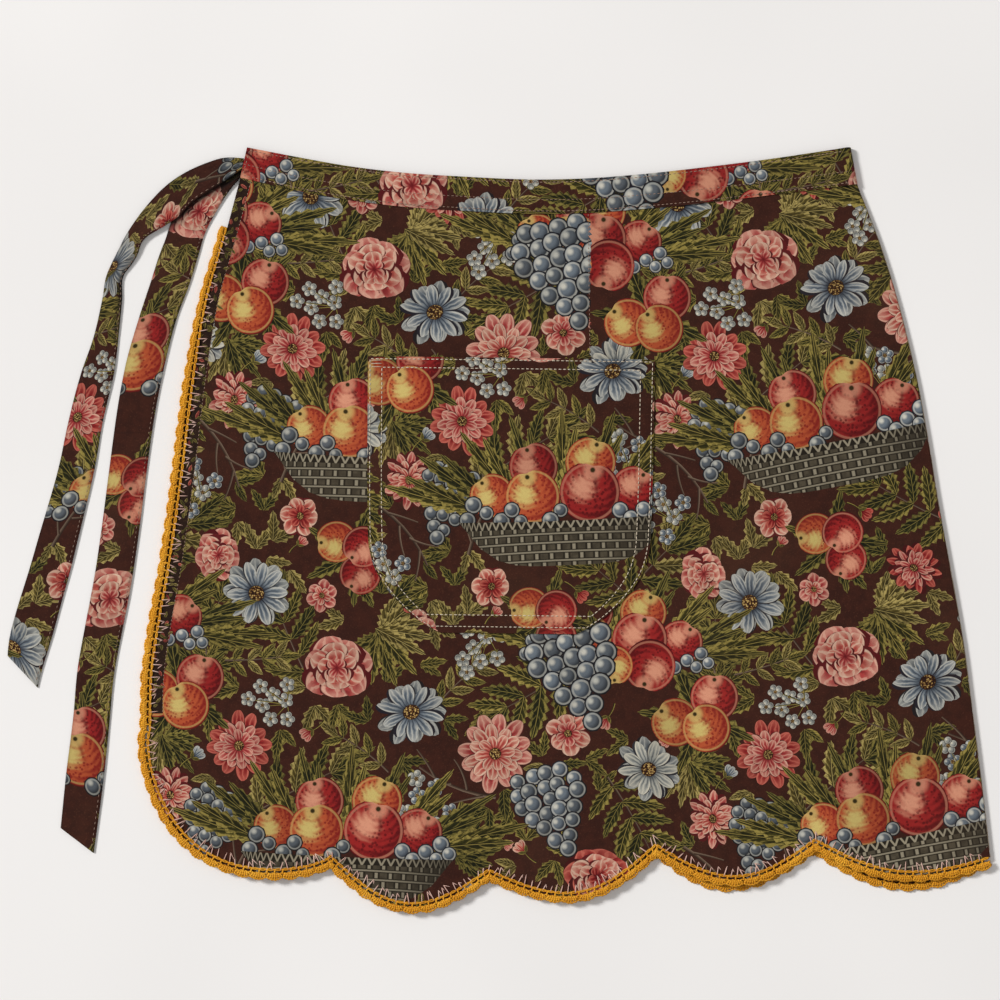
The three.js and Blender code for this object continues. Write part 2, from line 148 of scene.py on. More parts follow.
TIE_FRONT = table("down apart across slant root over", [
    (0.0, 0.0, -0.12, 0.29, 1.0, 0.0), (0.027, 0.2, -0.16, 0.69, 0.6, 0.4),
    (0.062, 0.46, -0.42, 1.05, 0.3, 0.7), (0.089, 0.57, -0.16, 1.15, 0.1, 0.9),
    (0.11, 0.71, 0.0, 1.04, 0, 1.0), (0.128, 0.86, 0.13, 0.69, 0, 0.9),
    (0.141, 0.91, 0.37, 0.29, 0, 0.8), (0.165, 0.92, 0.51, 0.13, 0, 0.5),
    (0.184, 0.955, 0.53, 0.03, 0, 0.3), (0.207, 1.01, 0.45, 0.0, 0, 0.15),
    (0.25, 0.955, 0.53, 0.0, 0, 0.0), (0.322, 0.92, 0.66, 0.0, 0, 0.0),
    (0.393, 0.91, 0.88, 0.0, 0, 0.0), (0.49, 0.97, 0.92, 0.0, 0, 0.0),
    (0.581, 1.0, 0.97, 0.0, 0, 0.0), (0.717, 1.08, 1.04, 0.1, 0, 0.0),
    (0.81, 1.13, 1.06, 0.2, 0, 0.0), (0.907, 1.19, 1.03, 0.4, 0, 0.0),
    (1.0, 1.285, 0.8, 0.85, 0, 0.0)])
TIE_FRONT_ROOT = 0.73
TIE_BACK_ROOT = 1.0
POCKET_OUTLINE = table("down half", [
    (0.0, 1.0), (0.64, 0.985), (0.74, 0.955), (0.82, 0.88), (0.9, 0.75), (0.96, 0.61), (1.0, 0.475)])


def read(rows, key, column, at):
    """A table's column read between its rows, on the same smooth curve as the solids'."""
    keys, values = rows[key], rows[column]
    last = len(keys) - 1
    at = np.clip(np.asarray(at, dtype=float), keys[0], keys[last])
    row = np.searchsorted(keys[1:last], at, side="left")

    def slope(a, b):
        a, b = np.clip(a, 0, last), np.clip(b, 0, last)
        return (values[b] - values[a]) / np.where(keys[b] == keys[a], 1, keys[b] - keys[a])

    here = slope(row, row + 1)
    before = np.where(row > 0, slope(row - 1, row + 1), here)
    after = np.where(row + 1 < last, slope(row, row + 2), here)
    span = keys[row + 1] - keys[row]
    t = (at - keys[row]) / span
    curve = (2 * t**3 - 3 * t**2 + 1) * values[row] + (3 * t**2 - 2 * t**3) * values[row + 1]
    return curve + span * ((t**3 - 2 * t**2 + t) * before + (t**3 - t**2) * after)


def smooth(at, low, high):
    t = np.clip((at - low) / (high - low), 0, 1)
    return t * t * (3 - 2 * t)


def xy(x, y):
    return np.stack(np.broadcast_arrays(np.asarray(x, float), np.asarray(y, float)), axis=-1)


def distances(points):
    """The distance along a line to each of its points."""
    return np.concatenate([[0], np.cumsum(np.linalg.norm(np.diff(points, axis=0), axis=1))])


def along_line(at, lengths, points):
    """A line's values at the given distances along it."""
    return np.stack([np.interp(at, lengths, points[:, k]) for k in range(2)], axis=-1)


# Edges of the folded apron, seen from above, from the waistband's upper left corner
def waist_top(share):
    return xy(HALF_WAIST * share, -WAIST_DIP * read(WAIST, "along", "dip", share))


def waist_seam(share):
    tall = BAND_HEIGHT * read(WAIST, "along", "tall", share)
    return waist_top(share) + xy(BAND_SPLAY * (2 * share - 1), -tall)


def skirt_top(share):
    return waist_seam(share) - xy(0, SEAM_GAP)


def hem_point(index):
    span = SIDE_FLARE + HALF_WAIST + FOLD_FLARE
    return xy(HEM_POINTS["across"][index] * span - SIDE_FLARE, -HEM_POINTS["down"][index] * SKIRT_LENGTH)


def edge_down(rows, start, end, share):
    out = read(rows, "down", "out", share)
    return xy(start[0] + (end[0] - start[0]) * out, start[1] + (end[1] - start[1]) * share)


def side_edge(share):
    return edge_down(SIDE, skirt_top(0), hem_point(0), share)


def fold_edge(share):
    return edge_down(FOLD, skirt_top(1), hem_point(-1), share)


def hem(share, back=False):
    count = len(SCALLOPS["depth"])
    place = np.minimum(np.asarray(share, float) * count, count - 1e-9)
    index = np.floor(place).astype(int)
    start, end = hem_point(index), hem_point(index + 1)
    chord = end - start
    outward = xy(chord[..., 1], -chord[..., 0]) / np.linalg.norm(chord, axis=-1)[..., None]
    t = place - index
    wave = np.sin(np.pi * t) ** SCALLOPS["fullness"][index]
    point = start + chord * t[..., None] + outward * (SCALLOPS["depth"][index] * wave)[..., None]
    drop = BACK_HEM_DROP * read(BACK_HEM, "along", "drop", share) if back else 0
    return point - xy(0, drop)


def edge_x(y):
    """The left boundary at a height: the waistband's end, then the side edge."""
    y = np.asarray(y, float)
    top = skirt_top(0)[1]
    end = waist_seam(0)
    side = side_edge(np.clip((y - top) / (hem_point(0)[1] - top), 0, 1))[..., 0]
    return np.where(y > top, end[0] * np.clip(y / end[1], 0, 1), side)


def fold_x(y):
    y = np.asarray(y, float)
    top = skirt_top(1)[1]
    return fold_edge(np.clip((y - top) / (hem_point(-1)[1] - top), 0, 1))[..., 0]


def share_across(x, y):
    left = edge_x(y)
    return (x - left) / (fold_x(y) - left)


def ripple(x, y):
    """The soft ripples of the upper layer, as in the solids, and none at the fold."""
    across = share_across(x, y)
    height = 0
    for centre, wide, tall, start in zip(*(RIPPLES[c] for c in ("across", "wide", "tall", "start"))):
        grown = tall * smooth(-y / SKIRT_LENGTH, start, 1)
        height = height + grown * np.exp(-(((across - centre) / wide) ** 2))
    return RIPPLE_HEIGHT * height * smooth(1 - across, 0, 0.1)


def lie(x, y):
    """Slow unevenness of cloth that has been ironed and laid down, and small tucks under the waist seam."""
    slow = 0.16 * np.sin(x / 19 + 1.3 * np.sin(y / 43)) * np.sin(y / 31 + 0.9 * np.sin(x / 37))
    slow += 0.08 * np.sin(x / 9.3 + y / 17) * np.sin(y / 12.1 - x / 23)
    share = np.clip(x / HALF_WAIST, 0, 1)
    under = np.clip(skirt_top(share)[..., 1] - y, 0, None)
    tucks = 0.16 * np.exp(-under / 14) * np.sin(x / 1.9 + 2 * np.sin(x / 13))
    return (slow + tucks) * smooth(1 - share_across(x, y), 0, 0.04)


# The print: generic flowers, leaves and fruit, each drawn as flat shapes with their own coordinates
PETAL, LEAF, DISC, BALL, STRIP, BOWL, FRUIT, PLAIN = 1, 2, 3, 4, 5, 6, 7, 8


def colour(red, green, blue):
    """Linear colour from the 0 to 255 values of a screen colour."""
    def linear(value):
        value /= 255
        return value / 12.92 if value <= 0.04045 else ((value + 0.055) / 1.055) ** 2.4
    return (linear(red), linear(green), linear(blue))


GROUND = (70, 35, 27)
INKS = {
    "pink": ((116, 22, 32), (186, 72, 74), (244, 200, 184)),
    "red": ((92, 14, 22), (156, 38, 42), (224, 128, 114)),
    "rose": ((130, 32, 40), (200, 96, 88), (248, 222, 204)),
    "blue": ((36, 44, 62), (118, 132, 150), (226, 228, 226)),
    "slate": ((30, 36, 46), (98, 108, 122), (206, 210, 210)),
    "white": ((62, 70, 84), (168, 174, 176), (236, 234, 224)),
    "olive": ((30, 32, 12), (84, 80, 32), (168, 154, 84)),
    "moss": ((22, 26, 12), (58, 60, 26), (146, 136, 72)),
    "khaki": ((52, 46, 20), (118, 104, 50), (188, 172, 108)),
    "seed": ((44, 22, 16), (124, 86, 44), (228, 204, 136)),
    "peach": ((140, 30, 30), (196, 92, 58), (226, 206, 132)),
    "apple": ((96, 12, 20), (166, 40, 42), (238, 168, 144)),
    "plum": ((26, 26, 42), (72, 80, 104), (164, 172, 186)),
    "grey": ((38, 34, 28), (92, 86, 74), (170, 164, 148)),
    "twig": ((54, 40, 34), (92, 74, 64), (124, 108, 96)),
    # cream inks the painted highlight along the fold's edge
    "cream": ((150, 132, 114), (196, 180, 160), (214, 200, 182)),
    "hem": ((26, 16, 13), (46, 28, 22), (92, 78, 50)),
}


class Shape:
    """One flat shape of the print: its outline, the frame of its own coordinates, and its inks."""

    def __init__(self, outline, origin, along, across, kind, ink, bend=0.0):
        self.outline = np.asarray(outline, float)
        self.origin = np.asarray(origin, float)
        self.along = np.asarray(along, float)
        self.across = np.asarray(across, float)
        self.kind = kind
        self.ink = ink
        self.bend = bend
        self.zones = (0,)
        self.back = False

    def placed(self, turn, shift, size=1.0):
        c, s = math.cos(turn) * size, math.sin(turn) * size
        matrix = np.array([[c, s], [-s, c]])
        moved = self.outline @ matrix + shift
        return Shape(moved, self.origin @ matrix + shift, self.along @ matrix, self.across @ matrix,
                     self.kind, self.ink, self.bend)


def half_width(t, kind):
    """Half width along a petal, widest past its middle, or a leaf, widest before it."""
    lean, full = (1.45, 0.55) if kind == PETAL else (0.8, 0.8)
    return np.sin(np.pi * np.clip(t, 0, 1) ** lean).clip(0) ** full


def toward(angle):
    return np.array([math.cos(angle), math.sin(angle)])


def laid_along(local, origin, turn, length, width, kind, ink, bend):
    """A shape from its own outline, where 1 is its length along it and half its width across."""
    along = toward(turn) * length
    across = np.array([-math.sin(turn), math.cos(turn)]) * width / 2
    outline = np.asarray(origin) + local[:, :1] * along + local[:, 1:] * across
    return Shape(outline, origin, along, across, kind, ink, bend)


def blade(origin, turn, length, width, ink, kind=PETAL, bend=0.0, teeth=0):
    """A petal or a leaf from its base, with optional teeth along both sides."""
    steps = [0.0, 0.2, 0.5, 0.78, 0.93, 1.0]
    if teeth:
        steps = [0.0] + [(k + part) / teeth for k in range(teeth) for part in (0.45, 0.85)] + [1.0]
    t = np.array(steps)
    half = half_width(t, kind)
    if teeth:
        half = half * np.where(np.arange(len(t)) % 2 == 0, 0.72, 1.16)
        half[0] = half[-1] = 0
    middle = 4 * bend * t * (1 - t)
    upper = xy(t, middle + half)
    lower = xy(t[1:-1], middle[1:-1] - half[1:-1])[::-1]
    return laid_along(np.concatenate([upper, lower]), origin, turn, length, width, kind, ink, bend)


def disc(centre, radius, ink, kind, sides, turn=0.0):
    angles = turn + np.arange(sides) * 2 * math.pi / sides
    outline = np.asarray(centre) + radius * xy(np.cos(angles), np.sin(angles))
    return Shape(outline, centre, (radius, 0), (0, radius), kind, ink)


def stem(origin, turn, length, width, ink, bend=0.0):
    t = np.linspace(0, 1, 6)
    half = 1 - 0.5 * t
    middle = 4 * bend * t * (1 - t)
    local = np.concatenate([xy(t, middle + half), xy(t, middle - half)[::-1]])
    return laid_along(local, origin, turn, length, width, STRIP, ink, bend)


def ring(rng, petals, inner, outer, width, ink, turn):
    shapes = []
    for k in range(petals):
        angle = turn + 2 * math.pi * k / petals + rng.uniform(-0.06, 0.06)
        length = (outer - inner) * rng.uniform(0.86, 1.1)
        shapes.append(blade(inner * toward(angle), angle, length, width, ink, bend=rng.uniform(-0.08, 0.08)))
    return shapes


def flower(rings, eye=()):
    """A flower drawn from its rings of petals (petals, inner and outer reach, width, ink, turn) and
    its eye (reach, sides)."""
    def motif(rng, radius, inks):
        shapes = []
        for petals, inner, outer, width, ink, turn in rings:
            shapes += ring(rng, petals, inner * radius, outer * radius, width * radius, inks[ink], turn)
        return shapes + [disc((0, 0), reach * radius, "seed", DISC, sides) for reach, sides in eye]
    return motif


dahlia = flower([(12, 0.2, 1, 0.44, 0, 0), (11, 0.1, 0.76, 0.36, 1, 0.25), (8, 0.06, 0.5, 0.3, 1, 0.1)],
                [(0.16, 8)])
daisy = flower([(9, 0.1, 1, 0.5, 0, 0.3), (10, 0.1, 0.94, 0.38, 1, 0)], [(0.24, 10)])
peony = flower([(7, 0.14, 1, 0.98, 0, 0), (6, 0.06, 0.76, 0.8, 1, 0.5), (5, 0, 0.52, 0.56, 1, 0.2),
                (4, 0, 0.34, 0.34, 0, 0.7)])
windflower = flower([(6, 0.06, 1, 0.86, 0, 0), (5, 0.06, 0.6, 0.5, 1, 0.4)], [(0.18, 8)])
FLOWERS = (dahlia, daisy, peony, windflower)


def small_flower(rng, centre, radius, ink):
    centre = np.asarray(centre)
    turn = rng.uniform(0, 2 * math.pi)
    shapes = []
    for k in range(5):
        angle = turn + 2 * math.pi * k / 5
        place = centre + 0.58 * radius * toward(angle)
        shapes.append(disc(place, 0.46 * radius, ink, BALL, 7, angle))
    return shapes + [disc(centre, 0.26 * radius, "seed", DISC, 5)]


def cluster(rng, radius, inks):
    shapes = []
    for k in range(8):
        angle = 2.4 * k + rng.uniform(-0.2, 0.2)
        place = radius * math.sqrt((k + 0.3) / 8) * toward(angle)
        shapes.append(stem(0.2 * place - (0, 0.5 * radius), math.atan2(place[1] + 0.5 * radius, place[0]),
                           np.hypot(place[0], place[1] + 0.5 * radius), 0.9, "olive"))
        shapes += small_flower(rng, place, 0.3 * radius, inks[k % 2])
    return shapes


def bunch(rng, radius, inks):
    """A hanging bunch of round berries in rows that narrow downwards."""
    size = 0.24 * radius
    shapes = []
    for row, count in enumerate((4, 5, 5, 4, 3, 2, 1)):
        for k in range(count):
            x = (k - (count - 1) / 2) * 1.66 * size + rng.uniform(-0.2, 0.2) * size
            y = (2.6 - row) * 1.5 * size + rng.uniform(-0.2, 0.2) * size
            shapes.append(disc((x, y), size * rng.uniform(0.95, 1.12), inks[(row + k) % 2], BALL, 9))
    return shapes


def fan(rng, radius, inks):
    """A spray of long toothed leaves from one stalk."""
    shapes = []
    for k, turn in enumerate((-1.9, 1.9, -1.45, 1.45, -1.0, 1.0, -0.55, 0.55, -0.15, 0.2)):
        length = radius * (1.5 - 0.25 * abs(turn)) * rng.uniform(0.9, 1.08)
        base = (0.12 * radius * abs(turn) - 0.3 * radius, 0)
        shapes.append(blade(base, turn + rng.uniform(-0.08, 0.08), length, rng.uniform(0.34, 0.44) * radius,
                            inks[k % 2], LEAF, 0.13 * turn, 7))
    return shapes


def sprig(rng, radius, inks):
    """A twig with pairs of plain leaves."""
    bend = rng.uniform(-4, 4)
    shapes = [stem((-radius, 0), 0, 2 * radius, 1.5, "twig", bend)]
    for k in range(4):
        t = 0.15 + 0.24 * k
        middle = np.array([-radius + 2 * radius * t, 4 * bend * t * (1 - t) * 0.75])
        for side in (-1, 1):
            shapes.append(blade(middle, side * rng.uniform(0.6, 0.95), 0.72 * radius, 0.3 * radius,
                                inks[k % 2], LEAF, 0.12 * side))
    shapes.append(blade((radius * 0.9, 0), 0, 0.75 * radius, 0.3 * radius, inks[0], LEAF))
    return shapes


def plume(rng, radius, inks):
    """A feathery spray of long toothed leaves either side of a stalk."""
    shapes = [stem((-radius, 0), 0, 1.6 * radius, 1.6, "twig", 1.5)]
    for k in range(5):
        base = (-0.8 * radius + 0.34 * radius * k, 0)
        for side in (-1, 1):
            turn = side * (1.15 - 0.14 * k) + rng.uniform(-0.1, 0.1)
            length = radius * (0.86 - 0.05 * abs(k - 2)) * rng.uniform(0.9, 1.1)
            ink = inks[(k + (side > 0)) % 2]
            shapes.append(blade(base, turn, length, 0.36 * length, ink, LEAF, 0.16 * side, 6))
    shapes.append(blade((0.7 * radius, 0), 0.05, 0.75 * radius, 0.28 * radius, inks[0], LEAF, 0.05, 6))
    return shapes


def branch(rng, radius, inks):
    """A bare grey-brown twig that forks."""
    shapes = [stem((-radius, 0), 0, 2 * radius, 2.6, inks[0], 3)]
    for k in range(4):
        place = (-0.7 * radius + 0.42 * radius * k, 2.4)
        turn = (-1) ** k * rng.uniform(0.5, 0.9)
        shapes.append(stem(place, turn, 0.8 * radius, 1.8, inks[1], rng.uniform(-2, 2)))
    return shapes


def bud(rng, radius, inks):
    shapes = [stem((-1.6 * radius, 0), 0, 1.7 * radius, 1.2, "olive", 1.5)]
    for turn in (-0.5, 0.5, 0.0):
        shapes.append(blade((0, 0), turn, 1.2 * radius, 0.7 * radius, inks[0]))
    for turn in (-0.8, 0.8):
        shapes.append(blade((-0.2 * radius, 0), turn, 0.8 * radius, 0.36 * radius, "olive", LEAF))
    return shapes


def round_fruit(centre, radius, ink, turn):
    """A round fruit with a dimple at its stalk, which points along turn."""
    angle = np.arange(24) * 2 * math.pi / 24
    off = (angle + math.pi) % (2 * math.pi) - math.pi
    reach = radius * (1 - 0.17 * np.exp(-((off / 0.34) ** 2)) - 0.05 * np.sin(off) ** 2)
    outline = reach[:, None] * xy(np.cos(angle), np.sin(angle))
    return Shape(outline, (0, 0), (radius, 0), (0, radius), FRUIT, ink).placed(turn, np.asarray(centre))


def fruit(rng, radius, inks):
    shapes = []
    for turn in (0.5, 1.5, 2.6, 3.9, 5.4):
        shapes.append(blade((0, 0), turn, 1.9 * radius, 0.6 * radius, "moss", LEAF, 0.1, 6))
    for x, y, ink, turn in ((-0.72, 0.16, 0, 2.0), (0.7, 0.3, 1, 1.1), (0.05, -0.42, 0, 1.8)):
        shapes.append(round_fruit((x * radius, y * radius), 0.78 * radius, inks[ink], turn))
    return shapes


def bowl(rng, radius, inks):
    """A low woven dish heaped with fruit and berries."""
    shapes = []
    for k in range(9):
        base = ((k - 4) * 0.2 * radius, 0.1 * radius)
        for lean, reach in ((0.0, 0.95), (0.17, 0.78)):
            shapes.append(blade(base, math.pi - 0.3 - 0.32 * k - lean, reach * radius, 0.17 * radius,
                                ("olive", "moss")[k % 2], LEAF, 0.1, 8))
    for x, y, size, ink, turn in ((-0.28, 0.5, 0.24, "apple", 1.9), (0.26, 0.52, 0.25, "peach", 1.2),
                                  (-0.68, 0.24, 0.22, "peach", 2.2), (0.66, 0.24, 0.24, "apple", 1.0),
                                  (-0.3, 0.22, 0.27, "peach", 1.8), (0.24, 0.24, 0.3, "apple", 1.4)):
        shapes.append(round_fruit((x * radius, y * radius), size * radius, ink, turn))
    for x, y in ((-0.86, 0.16), (-0.92, 0.02), (-0.74, 0.08), (-0.6, 0.0), (-0.5, 0.1), (-0.42, -0.01),
                 (-0.04, 0.08), (-0.14, -0.01), (0.52, 0.06), (0.62, -0.02), (0.74, 0.06), (0.84, 0.0),
                 (0.88, 0.14), (0.96, 0.05)):
        size = rng.uniform(0.07, 0.09) * radius
        shapes.append(disc((x * radius, y * radius), size, ("slate", "blue")[x > 0], BALL, 9))
    t = np.linspace(-1, 1, 13)
    rim = xy(t * radius, -0.02 * radius * np.cos(t * 1.5))
    base = xy(0.97 * t[::-1] * radius, -0.42 * radius * (1 - np.abs(t[::-1]) ** 4.5) - 0.02 * radius)
    outline = np.concatenate([rim, base[1:-1]])
    shapes.append(Shape(outline, (0, -0.22 * radius), (radius, 0), (0, 0.22 * radius), BOWL, inks[0]))
    return shapes


def heap(rng, radius, inks):
    """Fruit and leaves without a dish, and a hanging bunch of berries."""
    shapes = [s for s in bowl(rng, radius, inks) if s.kind != BOWL]
    shapes.append(round_fruit((0.36 * radius, -0.02 * radius), 0.28 * radius, "apple", 4.5))
    shapes.append(round_fruit((-0.02 * radius, -0.04 * radius), 0.22 * radius, "peach", 4.9))
    return shapes + [s.placed(0.35, (-0.4 * radius, -0.1 * radius)) for s in bunch(rng, 0.46 * radius, inks)]


# One repeat of the print, charted: motif, place across and up in the repeat, radius, turn, inks
REPEAT_WIDE = 318
REPEAT_TALL = 272
CHART = [
    (dahlia, 18, 124, 23, 0.2, ("red", "pink")),
    (dahlia, 172, 132, 27, 0.9, ("pink", "rose")),
    (dahlia, 300, 84, 21, 0.4, ("pink", "rose")),
    (dahlia, 124, 236, 20, 0.1, ("red", "pink")),
    (peony, 72, 184, 26, 0.3, ("pink", "rose")),
    (peony, 232, 48, 25, 1.2, ("red", "rose")),
    (peony, 306, 250, 19, 0.7, ("pink", "rose")),
    (daisy, 120, 158, 25, 0.5, ("slate", "blue")),
    (daisy, 184, 246, 21, 0.2, ("blue", "white")),
    (daisy, 16, 228, 24, 0.8, ("slate", "blue")),
    (daisy, 264, 120, 23, 0.0, ("slate", "white")),
    (windflower, 168, 30, 18, 0.4, ("blue", "slate")),
    (windflower, 216, 146, 16, 0.7, ("rose", "pink")),
    (windflower, 38, 12, 15, 0.0, ("rose", "red")),
    (windflower, 58, 232, 12, 0.5, ("pink", "rose")),
    (cluster, 132, 96, 21, 0.2, ("white", "blue")),
    (cluster, 34, 158, 18, 1.4, ("white", "white")),
    (cluster, 280, 24, 20, 0.8, ("white", "blue")),
    (cluster, 160, 202, 19, 2.6, ("white", "white")),
    (bunch, 206, 96, 25, 0.35, ("slate", "blue")),
    (bunch, 8, 70, 22, -0.3, ("slate", "slate")),
    (fruit, 296, 154, 22, 0.4, ("peach", "apple")),
    (fruit, 76, 262, 19, 2.2, ("apple", "peach")),
    (plume, 128, 10, 38, 2.5, ("moss", "olive")),
    (plume, 196, 176, 40, 3.7, ("olive", "moss")),
    (plume, 58, 100, 40, 0.6, ("moss", "khaki")),
    (plume, 254, 84, 36, 5.2, ("olive", "moss")),
    (plume, 40, 204, 36, 2.1, ("moss", "olive")),
    (plume, 268, 252, 38, 0.8, ("moss", "khaki")),
    (plume, 310, 200, 34, 1.5, ("olive", "moss")),
    (fan, 100, 208, 29, 5.6, ("olive", "khaki")),
    (fan, 214, 10, 28, 3.4, ("khaki", "olive")),
    (fan, 150, 66, 27, 1.2, ("moss", "olive")),
    (fan, 290, 118, 25, 5.0, ("khaki", "moss")),
    (branch, 36, 60, 30, 1.1, ("twig", "twig")),
    (branch, 200, 222, 30, 0.4, ("twig", "twig")),
    (branch, 150, 112, 28, 2.8, ("twig", "twig")),
    (branch, 296, 46, 26, 5.4, ("twig", "twig")),
    (sprig, 148, 176, 23, 0.8, ("olive", "khaki")),
    (sprig, 306, 182, 21, 1.9, ("khaki", "olive")),
    (sprig, 92, 128, 22, 2.6, ("khaki", "olive")),
    (sprig, 20, 184, 20, 0.2, ("olive", "khaki")),
    (bud, 150, 262, 8, 1.3, ("red", "pink")),
    (bud, 240, 156, 7, 4.2, ("pink", "pink")),
    (bud, 96, 8, 7, 5.6, ("red", "red")),
    (bud, 190, 66, 7, 2.4, ("rose", "rose")),
    (bud, 310, 112, 7, 0.8, ("blue", "blue")),
    (bud, 60, 140, 7, 3.9, ("pink", "rose")),
    (bowl, 88, 58, 72, 0.04, ("grey", "grey")),
    (heap, 246, 194, 66, -0.1, ("slate", "blue")),
]
UNDERNEATH = (fan, sprig, bud, plume, branch)


def apart(dx, dy):
    """The distance between two places of the repeat, across its edges where that is shorter."""
    dx = (dx + REPEAT_WIDE / 2) % REPEAT_WIDE - REPEAT_WIDE / 2
    dy = (dy + REPEAT_TALL / 2) % REPEAT_TALL - REPEAT_TALL / 2
    return math.hypot(dx, dy)


def filler(rng):
    """Leaf pairs and small buds in the ground that the chart leaves free, as offsets in the repeat."""
    taken = [(x, y, 0.72 * radius) for _, x, y, radius, _, _ in CHART]
    entries = []
    for _ in range(1500):
        x, y = rng.uniform(0, REPEAT_WIDE), rng.uniform(0, REPEAT_TALL)
        if all(apart(x - cx, y - cy) >= reach + 6 for cx, cy, reach in taken):
            taken.append((x, y, 6.5))
            entries.append((x, y, rng.uniform(0, 2 * math.pi), rng.random()))
    return entries


def leaf_pair(rng, kind_draw):
    if kind_draw > 0.9:
        return bud(rng, 5.5, ("pink", "red"))
    ink = ("olive", "moss", "khaki", "olive")[int(kind_draw * 3.99)]
    shapes = []
    for turn in (-0.5, 0.45):
        length = rng.uniform(15, 23)
        shapes.append(blade((-4, 0), turn + rng.uniform(-0.2, 0.2), length, 0.42 * length, ink, LEAF,
                            rng.uniform(-0.2, 0.2), 4 if length > 16 else 0))
    return shapes


def one_repeat():
    """Every motif of the repeat as (place, shapes), the lowest in the drawing order first."""
    rng = random.Random(PATTERN_SEED)
    low, middle, high = [], [], []
    for x, y, turn, draw in filler(rng):
        low.append(((x, y), [s.placed(turn, (0, 0)) for s in leaf_pair(rng, draw)]))
    for motif, x, y, radius, turn, inks in CHART:
        shapes = [s.placed(turn, (0, 0)) for s in motif(rng, radius, inks)]
        if motif in FLOWERS:
            shapes = seen_aslant(shapes, rng)
        (middle if motif in UNDERNEATH else high).append(((x, y), shapes))
    return low + middle + high


def seen_aslant(shapes, rng):
    """A motif drawn a little from one side."""
    turn, squash = rng.uniform(0, math.pi), rng.uniform(0.78, 1.0)
    direction = toward(turn)
    matrix = np.eye(2) - (1 - squash) * np.outer(direction, direction)
    return [Shape(s.outline @ matrix, s.origin @ matrix, s.along @ matrix, s.across @ matrix,
                  s.kind, s.ink, s.bend) for s in shapes]


REPEAT = one_repeat()


def lay_print(low, high, to_cloth):
    """The repeat laid over a box of print coordinates. to_cloth gives each motif's place and turn."""
    laid = []
    for place, shapes in REPEAT:
        first = [math.floor((low[k] - place[k]) / size) for k, size in enumerate((REPEAT_WIDE, REPEAT_TALL))]
        last = [math.ceil((high[k] - place[k]) / size) for k, size in enumerate((REPEAT_WIDE, REPEAT_TALL))]
        for i in range(first[0], last[0] + 1):
            for j in range(first[1], last[1] + 1):
                spot, turn = to_cloth(place[0] + i * REPEAT_WIDE, place[1] + j * REPEAT_TALL)
                laid.append([s.placed(turn, spot) for s in shapes])
    return laid


def upright(shift):
    """A plain lay of the print, shifted."""
    return lambda x, y: ((x + shift[0], y + shift[1]), 0.0)


FLARE_RADIUS = 1120
FLARE_CENTRE_X = 200


def flared(x, y):
    """The lay on the flared skirt, whose print fans out about a point far above the waist."""
    turn = (x - FLARE_CENTRE_X) / (FLARE_RADIUS + SKIRT_LENGTH / 2)
    reach = FLARE_RADIUS - y
    return (FLARE_CENTRE_X + reach * math.sin(turn), FLARE_RADIUS - reach * math.cos(turn)), turn


def bounds_of(shape):
    return shape.outline.min(axis=0), shape.outline.max(axis=0)


def near(shapes, low, high):
    """The shapes that reach into a box."""
    for shape in shapes:
        small, large = bounds_of(shape)
        if (large >= low).all() and (small <= high).all():
            yield shape


# Meshes
def new_object(name, vertices, faces, material, node=None):
    """vertices in millimetres from the waistband's corner, moved to the frame and scaled to metres."""
    mesh = bpy.data.meshes.new(name)
    moved = (np.asarray(vertices, float) + ORIGIN) * MM
    mesh.from_pydata(moved.tolist(), [], [tuple(f) for f in np.asarray(faces).tolist()])
    mesh.materials.append(material)
    mesh.validate()
    piece = bpy.data.objects.new(name, mesh)
    bpy.context.collection.objects.link(piece)
    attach(piece, "root")
    if node:
        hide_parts(node)
    return piece


band_low, band_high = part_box("waistband")
ORIGIN = np.array([band_low[0] / MM + BAND_SPLAY, band_high[1] / MM, 0.0])


def inside(outline, points):
    """Which points are inside a polygon."""
    x, y = points[:, 0], points[:, 1]
    result = np.zeros(len(points), bool)
    for (ax, ay), (bx, by) in zip(outline, np.roll(outline, -1, axis=0)):
        if ay != by:
            result ^= ((ay > y) != (by > y)) & (x < (bx - ax) * (y - ay) / (by - ay) + ax)
    return result


def signed_area(polygon):
    x, y = polygon.T
    return float(np.sum(x * np.roll(y, -1) - np.roll(x, -1) * y)) / 2


def turned_left(polygon):
    return polygon if signed_area(polygon) > 0 else polygon[::-1]


def triangulate(outline, points):
    """Triangles of one outline with loose points inside it, and where its own corners went."""
    vertices = [Vector(p) for p in outline] + [Vector(p) for p in points]
    out = delaunay_2d_cdt(vertices, [], [list(range(len(outline)))], 0, 1e-5, True)
    flat = np.array([tuple(v) for v in out[0]])
    triangles = np.array([f for f, ids in zip(out[2], out[5]) if ids])
    corners = {i: new for new, ids in enumerate(out[3]) for i in ids if i < len(outline)}
    return flat, triangles, [corners[i] for i in range(len(outline))]


TILE = 70.0


